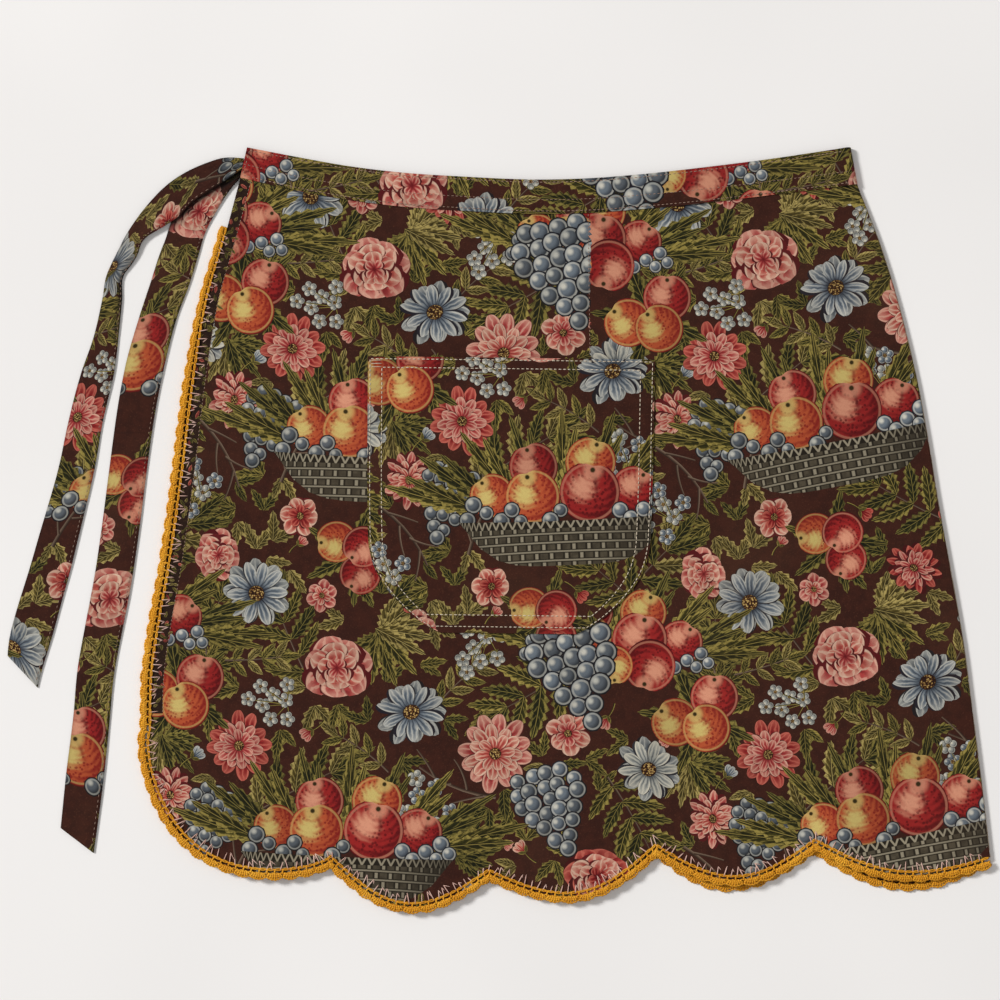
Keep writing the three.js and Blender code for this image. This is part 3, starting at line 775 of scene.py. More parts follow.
def tile_triangles(outline, points, shapes, zones, creases, on_crease, size=TILE):
    """Triangles of an outline cut along the shapes, worked square by square. Gives the points, the
    triangles and the shape that colours each one, or -1 for the ground."""
    low, high = outline.min(axis=0), outline.max(axis=0)
    ahead = np.roll(outline, -1, axis=0)
    edge_low, edge_high = np.minimum(outline, ahead), np.maximum(outline, ahead)
    shape_low, shape_high = (np.array([bounds_of(s)[k] for s in shapes]).reshape(-1, 2) for k in range(2))
    flats, faces, picks, count = [], [], [], 0
    columns, rows = (np.ceil((high - low) / size)).astype(int)
    for i in range(columns):
        for j in range(rows):
            corner = low + (i * size, j * size)
            far = corner + size
            crossed = np.nonzero(((edge_high >= corner) & (edge_low <= far)).all(axis=1))[0]
            if not len(crossed) and not inside(outline, (corner + size / 2)[None])[0]:
                continue
            vertices = [corner, (far[0], corner[1]), far, (corner[0], far[1])]
            polygons, edges = [[0, 1, 2, 3]], []
            for line in creases:
                close = ((line > corner - 6) & (line < far + 6)).all(axis=1)
                first = len(vertices)
                vertices += list(line[close])
                edges += [(n, n + 1) for n in range(first, len(vertices) - 1)]
            for k in crossed:
                edges.append((len(vertices), len(vertices) + 1))
                vertices += [outline[k], ahead[k]]
            chosen = np.nonzero(((shape_high >= corner) & (shape_low <= far)).all(axis=1))[0].tolist()
            for k in chosen:
                start = len(vertices)
                vertices += list(turned_left(shapes[k].outline))
                polygons.append(list(range(start, len(vertices))))
            out = delaunay_2d_cdt([Vector(v) for v in vertices], edges, polygons, 0, 1e-4, True)
            flat = np.array([tuple(v) for v in out[0]])
            kept = [(f, ids) for f, ids in zip(out[2], out[5]) if 0 in ids and len(f) == 3]
            triangles = np.array([f for f, _ in kept])
            centres = flat[triangles].mean(axis=1)
            good = inside(outline, centres) if len(crossed) else np.ones(len(triangles), bool)
            zone = zones(centres).tolist()
            picked = np.full(len(triangles), -1)
            for t, (_, ids) in enumerate(kept):
                for n in sorted(ids, reverse=True):
                    if n and zone[t] in shapes[chosen[n - 1]].zones:
                        picked[t] = chosen[n - 1]
                        break
            if not good.any():
                continue
            here = points[((points > corner + 0.8) & (points < far - 0.8)).all(axis=1)]
            flat, triangles, picked = thinned(flat, triangles[good], picked[good], here, corner, far, on_crease)
            faces.append(triangles + count)
            picks.append(picked)
            flats.append(flat)
            count += len(flat)
    flat, triangles = joined(np.concatenate(flats), np.concatenate(faces), low, size)
    a, b, c = triangles.T
    whole = (a != b) & (b != c) & (c != a)
    return flat, triangles[whole], np.concatenate(picks)[whole]


def thinned(flat, triangles, picked, points, corner, far, on_crease):
    """The same coloured areas with only the edges that part two colours or bound the whole."""
    sides = np.concatenate([triangles[:, [0, 1]], triangles[:, [1, 2]], triangles[:, [2, 0]]])
    owner = np.tile(np.arange(len(triangles)), 3)
    sides = np.sort(sides, axis=1)
    order = np.lexsort((sides[:, 1], sides[:, 0]))
    sides, owner = sides[order], owner[order]
    twin = np.concatenate([(sides[1:] == sides[:-1]).all(axis=1), [False]])
    paired = twin | np.concatenate([[False], twin[:-1]])
    parting = np.zeros(len(sides), bool)
    first = np.nonzero(twin)[0]
    parting[first] = picked[owner[first]] != picked[owner[first + 1]]
    needed = sides[parting | ~paired]
    links = {}
    for a, b in needed.tolist():
        links.setdefault(a, set()).add(b)
        links.setdefault(b, set()).add(a)
    creased = on_crease(flat)
    on_border = (np.minimum(np.abs(flat - corner), np.abs(flat - far)) < 0.01).any(axis=1) | creased
    on_border[sides[~paired]] = True
    for v in np.unique(triangles[creased[triangles]]).tolist():
        links.setdefault(v, set())
    for v in list(links):
        if on_border[v] or len(links[v]) != 2:
            continue
        a, b = links[v]
        (ax, ay), (bx, by) = flat[a] - flat[v], flat[b] - flat[v]
        bent = abs(ax * by - ay * bx) > 0.004 * math.hypot(ax - bx, ay - by) or ax * bx + ay * by > 0
        if bent or b in links[a]:
            continue
        links[a].remove(v)
        links[b].remove(v)
        links[a].add(b)
        links[b].add(a)
        del links[v]
    names = {v: i for i, v in enumerate(links)}
    edges = [(names[a], names[b]) for a in links for b in links[a] if a < b]
    vertices = [Vector(flat[v]) for v in links] + [Vector(p) for p in points]
    out = delaunay_2d_cdt(vertices, edges, [], 0, 1e-4, True)
    thin = np.array([tuple(v) for v in out[0]])
    faces = np.array([f for f in out[2] if len(f) == 3])
    tree = BVHTree.FromPolygons([(*p, 0) for p in flat.tolist()], triangles.tolist(), all_triangles=True)
    found = [tree.find_nearest((*p, 0))[2:] for p in thin[faces].mean(axis=1).tolist()]
    held = np.array([distance < 0.004 for _, distance in found])
    return thin, faces[held], picked[np.array([index for index, _ in found])[held]]


def joined(flat, triangles, low, size):
    """The squares' shared border points made one, and unused points dropped."""
    away = (flat - low) % size
    border = np.nonzero((np.minimum(away, size - away) < 0.01).any(axis=1))[0]
    tree = KDTree(len(border))
    for i in border:
        tree.insert((*flat[i], 0), i)
    tree.balance()
    same = np.arange(len(flat))
    for i in border:
        same[i] = min(found[1] for found in tree.find_range((*flat[i], 0), 0.004))
    same = same[same]
    used, index = np.unique(same[triangles], return_inverse=True)
    return flat[used], index.reshape(-1, 3)


def boundary(triangles):
    """The triangles' outer loop, in order: the longest where a crack leaves a short one."""
    edges = np.concatenate([triangles[:, [0, 1]], triangles[:, [1, 2]], triangles[:, [2, 0]]])
    seen = set(map(tuple, edges.tolist()))
    follow = {}
    for a, b in sorted(seen):
        if (b, a) not in seen:
            follow.setdefault(a, []).append(b)
    longest = []
    while follow:
        trail = [next(iter(follow))]
        place = {trail[0]: 0}
        while trail[-1] in follow:
            at = trail[-1]
            after = follow[at].pop()
            if not follow[at]:
                del follow[at]
            if after not in place:
                place[after] = len(trail)
                trail.append(after)
                continue
            loop = trail[place[after]:]
            longest = max(longest, loop, key=len)
            for gone in loop[1:]:
                del place[gone]
            del trail[place[after] + 1:]
    return np.array(longest)


def cloth_normals(to_space, flat):
    step = 0.4
    right, left = to_space(flat + (step, 0)), to_space(flat - (step, 0))
    up, down = to_space(flat + (0, step)), to_space(flat - (0, step))
    normals = np.cross(right - left, up - down)
    return normals / np.maximum(np.linalg.norm(normals, axis=1), 1e-12)[:, None]


def grid_points(low, high, step):
    """Loose points inside a box, every second row shifted by half a step."""
    rows = []
    for k, y in enumerate(np.arange(low[1] + step / 2, high[1], step)):
        rows.append(xy(np.arange(low[0] + step / 2 + (k % 2) * step / 2, high[0], step), y))
    return np.concatenate(rows)


def printed_cloth(name, outline, shapes, to_space, wall, material, node, step=7.0,
                  zones=lambda points: np.zeros(len(points), int), own=None, folded=None, shade=None):
    """A closed sheet of cloth whose upper face is cut along the print's shapes.

    to_space maps the flat cloth to its upper face in millimetres. zones gives each point's zone, as
    a shape colours its own zones only, and own gives a shape's flat coordinates where they differ
    from the cloth's. folded is how the cloth bends, and shade darkens it from 1 down to 0.
    """
    low, high = outline.min(axis=0), outline.max(axis=0)
    loose = grid_points(low, high, step)
    creases, on_crease = (), lambda points: np.zeros(len(points), bool)
    if folded:
        creases, on_crease = folded.creases(low[1], high[1]), folded.on_crease
        loose = loose[~folded.beside_bend(loose)]
    flat, triangles, picked = tile_triangles(outline, loose[inside(outline, loose)], shapes, zones,
                                             creases, on_crease)
    turn_over(flat, triangles, 1)
    loop = boundary(triangles)
    coarse = grid_points(low, high, 2 * step)
    under_flat, under_triangles, corners = triangulate(flat[loop], coarse[inside(outline, coarse)])
    turn_over(under_flat, under_triangles, -1)
    top_normals, under_normals = cloth_normals(to_space, flat), cloth_normals(to_space, under_flat)
    under = to_space(under_flat) - wall * under_normals
    count = len(flat)
    rim_under = np.array(corners) + count
    after, after_under = np.roll(loop, -1), np.roll(rim_under, -1)
    rim = np.concatenate([
        np.stack([loop, rim_under, after_under], axis=1), np.stack([loop, after_under, after], axis=1)])
    faces = np.concatenate([triangles, under_triangles + count, rim])
    piece = new_object(name, np.concatenate([to_space(flat), under]), faces, material, node)
    ink_corners(piece, flat, triangles, picked, shapes, own, len(faces) - len(triangles))
    everywhere = np.concatenate([flat, under_flat])
    darkened = np.ones(len(everywhere)) if shade is None else shade(everywhere, to_space(everywhere))
    piece.data.attributes.new("shade", "FLOAT", "POINT").data.foreach_set("value", darkened)
    corner_normals(piece, np.concatenate([top_normals, -under_normals]), faces, len(rim))
    bake_map(piece, everywhere, len(triangles), low, high)
    return piece


def turn_over(flat, triangles, way):
    a, b, c = (flat[triangles[:, k]] for k in range(3))
    area = (b[:, 0] - a[:, 0]) * (c[:, 1] - a[:, 1]) - (b[:, 1] - a[:, 1]) * (c[:, 0] - a[:, 0])
    wrong = area * way < 0
    triangles[wrong] = triangles[wrong][:, ::-1]


def ink_corners(piece, flat, triangles, picked, shapes, own, plain_faces):
    """Stores each corner's coordinates in its own shape, and the shape's three inks."""
    corners = len(triangles) * 3
    total = corners + plain_faces * 3
    place = np.zeros((total, 3))
    inks = np.zeros((3, total, 4))
    chosen = picked >= 0
    inked = np.repeat(chosen, 3)
    if len(shapes):
        frames = np.array([[*s.origin, *(s.along / (s.along @ s.along)), *(s.across / (s.across @ s.across)),
                            s.bend, s.kind] for s in shapes])
        tones = np.array([[colour(*tone) for tone in INKS[s.ink]] for s in shapes])
        rng = np.random.default_rng(PATTERN_SEED)
        shade = rng.uniform(0.86, 1.16, len(shapes))
        draw = rng.random(len(shapes))
        each = np.repeat(picked, 3)[inked]
        points = flat[triangles].reshape(-1, 2)[inked]
        if own is not None:
            points = own(points, np.array([s.back for s in shapes])[each])
        offset = points - frames[each, 0:2]
        where = np.nonzero(inked)[0]
        place[where, 0] = (offset * frames[each, 2:4]).sum(axis=1)
        place[where, 1] = (offset * frames[each, 4:6]).sum(axis=1)
        place[where, 2] = frames[each, 6]
        for k in range(3):
            inks[k, where, :3] = tones[each, k] * shade[each, None]
        inks[0, where, 3] = frames[each, 7] / 10
        inks[1, where, 3] = draw[each]
    mesh = piece.data
    vector = mesh.attributes.new("shape_place", "FLOAT_VECTOR", "CORNER")
    vector.data.foreach_set("vector", place.ravel())
    for k, name in enumerate(("ink_dark", "ink_mid", "ink_light")):
        layer = mesh.attributes.new(name, "FLOAT_COLOR", "CORNER")
        layer.data.foreach_set("color", inks[k].ravel())


def corner_normals(piece, normals, faces, rim_faces):
    mesh = piece.data
    mesh.shade_smooth()
    if len(mesh.loops) != 3 * len(faces):
        return
    corners = normals[faces.ravel()]
    coords = np.array([v.co for v in mesh.vertices])
    rim = faces[-rim_faces:]
    flat_normals = np.cross(coords[rim[:, 1]] - coords[rim[:, 0]], coords[rim[:, 2]] - coords[rim[:, 0]])
    flat_normals /= np.maximum(np.linalg.norm(flat_normals, axis=1), 1e-12)[:, None]
    corners[-3 * rim_faces:] = np.repeat(flat_normals, 3, axis=0)
    mesh.normals_split_custom_set(corners.tolist())


def bake_map(piece, flat, top_faces, low, high):
    """The flat cloth as a map for baked textures, the plain faces in a strip above the printed one."""
    mesh = piece.data
    layer = mesh.uv_layers.new(name="OFBake")
    spots = (flat - low) / (high - low)
    index = np.empty(len(mesh.loops), dtype=np.int32)
    mesh.loops.foreach_get("vertex_index", index)
    uv = spots[index] * (0.99, 0.84) + (0.005, 0.005)
    plain = np.arange(len(index)) >= 3 * top_faces
    uv[plain] = spots[index[plain]] * (0.99, 0.13) + (0.005, 0.86)
    layer.data.foreach_set("uv", uv.ravel())


# Materials
class Nodes:
    """Short calls for building a node tree."""

    def __init__(self, name):
        self.material = bpy.data.materials.new(name)
        self.material.use_nodes = True
        self.tree = self.material.node_tree
        self.tree.nodes.clear()

    def node(self, kind, **settings):
        node = self.tree.nodes.new(kind)
        for key, value in settings.items():
            setattr(node, key, value)
        return node

    def put(self, socket, value):
        if isinstance(value, bpy.types.NodeSocket):
            self.tree.links.new(value, socket)
        elif isinstance(value, tuple) and len(value) == 3 and socket.type == "RGBA":
            socket.default_value = (*value, 1)
        else:
            socket.default_value = value

    def math(self, operation, a, b=0.0, c=0.0):
        node = self.node("ShaderNodeMath", operation=operation)
        for socket, value in zip(node.inputs, (a, b, c)):
            self.put(socket, value)
        return node.outputs[0]

    def add(self, a, b):
        return self.math("ADD", a, b)

    def sub(self, a, b):
        return self.math("SUBTRACT", a, b)

    def mul(self, a, b):
        return self.math("MULTIPLY", a, b)

    def step(self, value, low, high, start=0.0, end=1.0):
        """A smooth step of value from low to high, which may also fall."""
        node = self.node("ShaderNodeMapRange", interpolation_type="SMOOTHSTEP")
        for socket, given in zip(node.inputs, (value, low, high, start, end)):
            self.put(socket, given)
        return node.outputs[0]

    def is_kind(self, kind, number):
        return self.math("COMPARE", kind, float(number), 0.3)

    def mix(self, a, b, factor, blend="MIX"):
        node = self.node("ShaderNodeMix", data_type="RGBA", blend_type=blend, clamp_factor=True)
        self.put(node.inputs[0], factor)
        self.put(node.inputs[6], a)
        self.put(node.inputs[7], b)
        return node.outputs[2]

    def noise(self, scale, detail, vector, distortion=0.0):
        node = self.node("ShaderNodeTexNoise")
        self.put(node.inputs["Vector"], vector)
        node.inputs["Scale"].default_value = scale
        node.inputs["Detail"].default_value = detail
        node.inputs["Distortion"].default_value = distortion
        return node.outputs[0]

    def cells(self, scale, vector):
        node = self.node("ShaderNodeTexVoronoi")
        self.put(node.inputs["Vector"], vector)
        node.inputs["Scale"].default_value = scale
        return node.outputs["Distance"]

    def between(self, value, low, full, fade, high):
        """1 from full to fade, and 0 below low and above high."""
        return self.mul(self.step(value, low, full), self.step(value, high, fade))

    def away(self, x, y, centre_x, centre_y):
        """The distance from a point."""
        return self.math("SQRT", self.add(self.math("POWER", self.sub(x, centre_x), 2.0),
                                          self.math("POWER", self.sub(y, centre_y), 2.0)))

    def split(self, vector):
        node = self.node("ShaderNodeSeparateXYZ")
        self.put(node.inputs[0], vector)
        return node.outputs

    def join(self, x, y, z=0.0):
        node = self.node("ShaderNodeCombineXYZ")
        for socket, value in zip(node.inputs, (x, y, z)):
            self.put(socket, value)
        return node.outputs[0]

    def attribute(self, name):
        return self.node("ShaderNodeAttribute", attribute_name=name).outputs

    def here(self):
        return self.node("ShaderNodeTexCoord").outputs["Object"]

    def finish(self, base, roughness, height=None, distance=0.0002, strength=0.5, sheen=0.0, tint=(1, 1, 1),
               gloss=0.25):
        shader = self.node("ShaderNodeBsdfPrincipled")
        self.put(shader.inputs["Base Color"], base)
        self.put(shader.inputs["Roughness"], roughness)
        shader.inputs["Specular IOR Level"].default_value = gloss
        shader.inputs["Sheen Weight"].default_value = sheen
        shader.inputs["Sheen Roughness"].default_value = 0.6
        shader.inputs["Sheen Tint"].default_value = (*tint, 1)
        if height is not None:
            bump = self.node("ShaderNodeBump")
            bump.inputs["Strength"].default_value = strength
            bump.inputs["Distance"].default_value = distance
            self.put(bump.inputs["Height"], height)
            self.put(shader.inputs["Normal"], bump.outputs[0])
        output = self.node("ShaderNodeOutputMaterial")
        self.tree.links.new(shader.outputs[0], output.inputs[0])
        return self.material


# The whole print is toned down by WASH, and goes to DEEP where the cloth is shaded
WASH = (0.68, 0.64, 0.56)
DEEP = (0.003, 0.002, 0.002)
WEAVE = 0.0009


def printed_cotton():
    """Printed cotton: the ground, and in each shape its own petals, veins, ribs and shading."""
    n = Nodes("printed_cotton")
    here = n.here()
    x, y, bend = n.split(n.attribute("shape_place")[1])[0:3]
    dark, dark_alpha = (n.attribute("ink_dark")[k] for k in (0, 3))
    mid, draw = (n.attribute("ink_mid")[k] for k in (0, 3))
    light = n.attribute("ink_light")[0]
    kind = n.mul(dark_alpha, 10.0)
    grain = n.noise(900, 2, here)
    blotch = n.noise(160, 2, here)
    rough_edge = n.mul(n.sub(blotch, 0.5), 0.3)

    # Where a point is in its petal or leaf: side is 0 on the middle line and 1 at the edge
    arch = n.mul(n.mul(x, n.sub(1.0, x)), n.mul(bend, 4.0))
    off = n.sub(y, arch)
    clipped = n.math("MINIMUM", n.math("MAXIMUM", x, 0.001), 0.999)
    petal_half = n.math("POWER", n.math("SINE", n.mul(n.math("POWER", clipped, 1.45), math.pi)), 0.55)
    leaf_half = n.math("POWER", n.math("SINE", n.mul(n.math("POWER", clipped, 0.8), math.pi)), 0.8)
    distance = n.math("ABSOLUTE", off)
    petal_side = n.math("DIVIDE", distance, n.math("MAXIMUM", petal_half, 0.06))
    leaf_side = n.math("DIVIDE", distance, n.math("MAXIMUM", leaf_half, 0.06))

    # Petals: dark at the base, paler towards a light rim, with streaks that fan out from the base
    fan_lines = n.math("DIVIDE", off, n.math("MAXIMUM", petal_half, 0.15))
    wander = n.add(n.mul(fan_lines, 9.0), n.mul(n.noise(240, 1, here), 5.0))
    streak = n.math("SINE", n.add(wander, n.mul(draw, 40.0)))
    petal = n.mix(dark, mid, n.step(n.add(x, rough_edge), 0.02, 0.38))
    petal = n.mix(petal, light, n.mul(n.step(n.add(x, rough_edge), 0.55, 1.0), 0.5))
    petal = n.mix(petal, dark, n.mul(n.mul(n.step(streak, 0.25, 0.95), n.step(x, 0.95, 0.3)), 0.75))
    petal = n.mix(petal, light, n.mul(n.mul(n.step(streak, -0.3, -0.95), n.step(x, 0.2, 0.6)), 0.55))
    petal = n.mix(petal, light, n.mul(n.mul(n.step(petal_side, 0.6, 0.74), n.step(x, 0.25, 0.5)), 0.6))
    petal_line = n.mix(dark, (0.02, 0.008, 0.008), 0.45)
    petal = n.mix(petal, petal_line, n.step(petal_side, 0.82, 0.93))
    petal = n.mix(petal, petal_line, n.step(x, 0.96, 0.99))

    # Leaves: a dark middle, one half lighter, pale margins and tip, and veins that slant to the tip
    veins = n.math("FRACT", n.add(n.sub(n.mul(x, 6.0), n.mul(leaf_side, 1.7)), n.mul(blotch, 0.8)))
    upper = n.step(off, -0.08, 0.1)
    leaf = n.mix(n.mix(mid, dark, 0.85), n.mix(mid, dark, 0.45), upper)
    margin = n.step(n.add(leaf_side, n.mul(n.sub(blotch, 0.5), 1.1)), 0.5, 0.66)
    leaf = n.mix(leaf, light, n.mul(margin, n.add(0.62, n.mul(upper, 0.38))))
    leaf = n.mix(leaf, light, n.mul(n.step(n.add(x, n.mul(blotch, 0.2)), 0.85, 1.05), 0.5))
    leaf = n.mix(leaf, light, n.mul(n.between(veins, 0.36, 0.5, 0.54, 0.68), 0.6))
    leaf = n.mix(leaf, dark, n.mul(n.step(veins, 0.26, 0.06), 0.85))
    leaf = n.mix(leaf, dark, n.mul(n.step(n.noise(420, 2, here), 0.52, 0.62), 0.45))
    leaf = n.mix(leaf, n.mix(dark, (0.01, 0.01, 0.006), 0.5), n.step(distance, 0.16, 0.1))
    leaf = n.mix(leaf, light, n.mul(n.step(n.math("ABSOLUTE", n.add(off, 0.02)), 0.06, 0.03), 0.8))

    # Round shapes: a berry lit from its upper left, a fruit with a blush, and a flower's eye
    round_line = n.mix(dark, (0.01, 0.006, 0.006), 0.6)
    radius = n.away(x, y, 0.0, 0.0)
    from_light = n.away(x, y, -0.3, 0.34)
    ball = n.mix(light, mid, n.step(from_light, 0.08, 0.45))
    ball = n.mix(ball, dark, n.mul(n.step(from_light, 0.5, 1.1), 0.85))
    ball = n.mix(ball, light, n.mul(n.between(radius, 0.58, 0.7, 0.78, 0.84), 0.5))
    ball = n.mix(ball, round_line, n.step(radius, 0.8, 0.88))
    stalk = n.away(x, y, 0.7, 0.0)
    arcs = n.math("SINE", n.add(n.mul(stalk, 30.0), n.mul(blotch, 7.0)))
    lit = n.away(x, y, 0.12, 0.26)
    fruit_skin = n.mix(light, mid, n.step(n.add(lit, n.mul(arcs, 0.06)), 0.12, 0.6))
    fruit_skin = n.mix(fruit_skin, dark, n.mul(n.step(n.add(lit, n.mul(arcs, 0.14)), 0.6, 1.15), 0.9))
    specks = n.cells(8.0, n.join(x, y, n.mul(draw, 9.0)))
    freckle = n.mul(n.step(specks, 0.4, 0.3), n.step(lit, 0.15, 0.5))
    fruit_skin = n.mix(fruit_skin, dark, n.mul(freckle, 0.75))
    cleft = n.math("ABSOLUTE", n.add(y, n.mul(n.sub(0.75, x), n.add(0.28, n.mul(x, 0.2)))))
    fruit_skin = n.mix(fruit_skin, dark, n.mul(n.mul(n.step(cleft, 0.11, 0.0), n.step(x, -0.7, 0.7)), 0.85))
    fruit_skin = n.mix(fruit_skin, light, n.mul(n.step(stalk, 0.42, 0.16), 0.7))
    fruit_skin = n.mix(fruit_skin, colour(56, 46, 18), n.step(stalk, 0.11, 0.05))
    fruit_skin = n.mix(fruit_skin, light, n.mul(n.between(radius, 0.82, 0.86, 0.9, 0.93), 0.4))
    fruit_skin = n.mix(fruit_skin, round_line, n.step(radius, 0.93, 0.97))
    dots = n.cells(4.2, n.join(x, y, draw))
    eye = n.mix(light, mid, n.step(dots, 0.15, 0.45))
    eye = n.mix(eye, dark, n.step(dots, 0.42, 0.62))
    eye = n.mix(eye, dark, n.step(radius, 0.8, 0.95))

    # Twigs, and the dish with its woven side and plaited rim
    twig = n.mix(n.mix(mid, light, n.step(off, 0.0, 0.4)), dark, n.step(off, -0.1, -0.6))
    around = n.mul(n.math("ARCSINE", n.math("MINIMUM", n.math("MAXIMUM", x, -0.99), 0.99)), 7.0)
    rows = n.mul(n.add(y, n.mul(n.mul(x, x), 0.1)), 2.6)
    beside = n.math("ABSOLUTE", n.sub(n.math("FRACT", n.add(around, n.mul(n.math("FLOOR", rows), 0.5))), 0.5))
    between = n.math("ABSOLUTE", n.sub(n.math("FRACT", rows), 0.5))
    vessel = n.mix(mid, dark, n.mul(n.step(blotch, 0.35, 0.65), 0.5))
    vessel = n.mix(vessel, dark, n.step(beside, 0.2, 0.32))
    vessel = n.mix(vessel, light, n.mul(n.step(beside, 0.36, 0.43), 0.9))
    vessel = n.mix(vessel, dark, n.step(between, 0.26, 0.34))
    vessel = n.mix(vessel, light, n.mul(n.step(between, 0.38, 0.44), 0.8))
    plait = n.math("ABSOLUTE", n.sub(n.math("ABSOLUTE", n.sub(n.math("FRACT", n.mul(around, 1.5)), 0.5)),
                                     n.mul(n.sub(y, 0.62), 1.3)))
    braid = n.mix(light, dark, n.step(plait, 0.07, 0.15))
    vessel = n.mix(vessel, braid, n.step(y, 0.6, 0.62))
    vessel = n.mix(vessel, dark, n.mul(n.step(n.math("ABSOLUTE", n.add(x, 0.2)), 0.4, 1.25), 0.75))

    plain = n.mix(mid, dark, n.mul(n.step(blotch, 0.4, 0.6), 0.5))
    plain = n.mix(plain, light, n.mul(n.step(grain, 0.55, 0.7), 0.25))

    ground = colour(*GROUND)
    base = n.mix(ground, colour(54, 27, 22), n.mul(n.step(blotch, 0.35, 0.65), 0.6))
    base = n.mix(base, colour(112, 66, 50), n.mul(n.step(grain, 0.56, 0.78), 0.4))
    for number, look in ((PETAL, petal), (LEAF, leaf), (DISC, eye), (BALL, ball), (STRIP, twig),
                         (BOWL, vessel), (FRUIT, fruit_skin), (PLAIN, plain)):
        base = n.mix(base, look, n.is_kind(kind, number))
    base = n.mix(base, colour(84, 56, 42), n.mul(n.step(grain, 0.5, 0.8), 0.16))
    wear = n.noise(9, 3, here)
    base = n.mix(base, colour(150, 120, 92), n.mul(n.step(wear, 0.5, 0.8), 0.06))
    base = n.mix(base, WASH, 1.0, "MULTIPLY")
    base = n.mix(DEEP, base, n.attribute("shade")[2])
    weave = n.mul(*(n.math("SINE", n.mul(n.split(here)[k], 2 * math.pi / WEAVE)) for k in range(2)))
    height = n.add(n.mul(weave, 0.35), n.noise(700, 3, here))
    return n.finish(base, 0.88, height, 0.00025, 0.35, 0.04, colour(220, 190, 160), 0.14)


def thread(name, tones, twist=1.6):
    """Twisted yarn or thread: strand_place holds millimetres along it and the angle round it."""
    n = Nodes(name)
    along, around, draw = n.split(n.attribute("strand_place")[1])[0:3]
    here = n.here()
    ply = n.math("SINE", n.add(n.mul(along, twist * 2 * math.pi), n.mul(around, 2.0)))
    fuzz = n.noise(1500, 3, here)
    dark, mid, light = (colour(*tone) for tone in tones)
    # painted shade in the grooves between the plies, and a painted highlight on each ply's crest
    base = n.mix(dark, mid, n.step(ply, -1.0, -0.1))
    base = n.mix(base, light, n.mul(n.step(ply, 0.1, 1.0), 0.6))
    base = n.mix(base, light, n.mul(n.step(n.noise(60, 2, here), 0.45, 0.75), 0.35))
    base = n.mix(base, dark, n.mul(n.step(draw, 0.5, 1.0), 0.35))
    base = n.mix(base, dark, n.mul(n.step(fuzz, 0.5, 0.75), 0.3))
    return n.finish(base, 0.75, n.add(n.mul(ply, 0.6), fuzz), sheen=0.15, tint=light)


COTTON_PRINT = printed_cotton()
YARN = thread("ochre_yarn", ((172, 102, 10), (220, 150, 20), (244, 190, 62)), twist=0.9)
PINK_THREAD = thread("pale_pink_thread", ((176, 126, 112), (226, 184, 168), (244, 222, 208)))
CREAM_THREAD = thread("cream_thread", ((168, 148, 122), (218, 204, 180), (238, 230, 212)))
DULL_THREAD = thread("dull_thread", ((112, 84, 72), (166, 134, 116), (196, 168, 148)))


STRAND_SIDES = 5


def strands(name, runs, material, node=None):
    """Round strands in one mesh. Each run is (points, radius)."""
    vertices, faces, places = [], [], []
    count, sides = 0, STRAND_SIDES
    rng = random.Random(PATTERN_SEED)
    for points, radius in runs:
        points = np.asarray(points, float)
        steps = len(points)
        along = np.gradient(points, axis=0)
        along /= np.maximum(np.linalg.norm(along, axis=1), 1e-9)[:, None]
        side = np.cross(along, (0, 0, 1))
        short = np.linalg.norm(side, axis=1)
        side[short < 0.05] = (1, 0, 0)
        side /= np.maximum(np.linalg.norm(side, axis=1), 1e-9)[:, None]
        up = np.cross(side, along)
        angles = np.arange(sides) * 2 * math.pi / sides
        round_it = side[:, None] * np.cos(angles)[None, :, None] + up[:, None] * np.sin(angles)[None, :, None]
        radii = np.broadcast_to(radius, steps)[:, None, None]
        ring_points = points[:, None] + radii * round_it
        lengths = distances(points)
        draw = rng.random()
        place = np.zeros((steps, sides, 3))
        place[..., 0], place[..., 1], place[..., 2] = lengths[:, None], angles[None], draw
        vertices.append(np.concatenate([ring_points.reshape(-1, 3), points[:1], points[-1:]]))
        places.append(np.concatenate([place.reshape(-1, 3), [[0, 0, draw]], [[lengths[-1], 0, draw]]]))
        i, j = np.meshgrid(np.arange(steps - 1), np.arange(sides), indexing="ij")
        a, b = i * sides + j, i * sides + (j + 1) % sides
        c, d = b + sides, a + sides
        j = np.arange(sides)
        first, last, end = steps * sides, steps * sides + 1, (steps - 1) * sides
        halves = [(a, c, d), (a, b, c), (np.full(sides, first), (j + 1) % sides, j),
                  (np.full(sides, last), end + j, end + (j + 1) % sides)]
        faces.append(np.concatenate([np.stack([v.ravel() for v in half], axis=1) for half in halves]) + count)
        count += len(vertices[-1])
    vertices, faces = np.concatenate(vertices), np.concatenate(faces)
    piece = new_object(name, vertices, faces, material, node)
    mesh = piece.data
    mesh.shade_smooth()
    layer = mesh.attributes.new("strand_place", "FLOAT_VECTOR", "POINT")
    layer.data.foreach_set("vector", np.concatenate(places).ravel())
    return piece


# The flat cloths and how they lie
BEND_PARTS = np.array([0, 0.2, 0.4, 0.6, 0.8, 1.0])


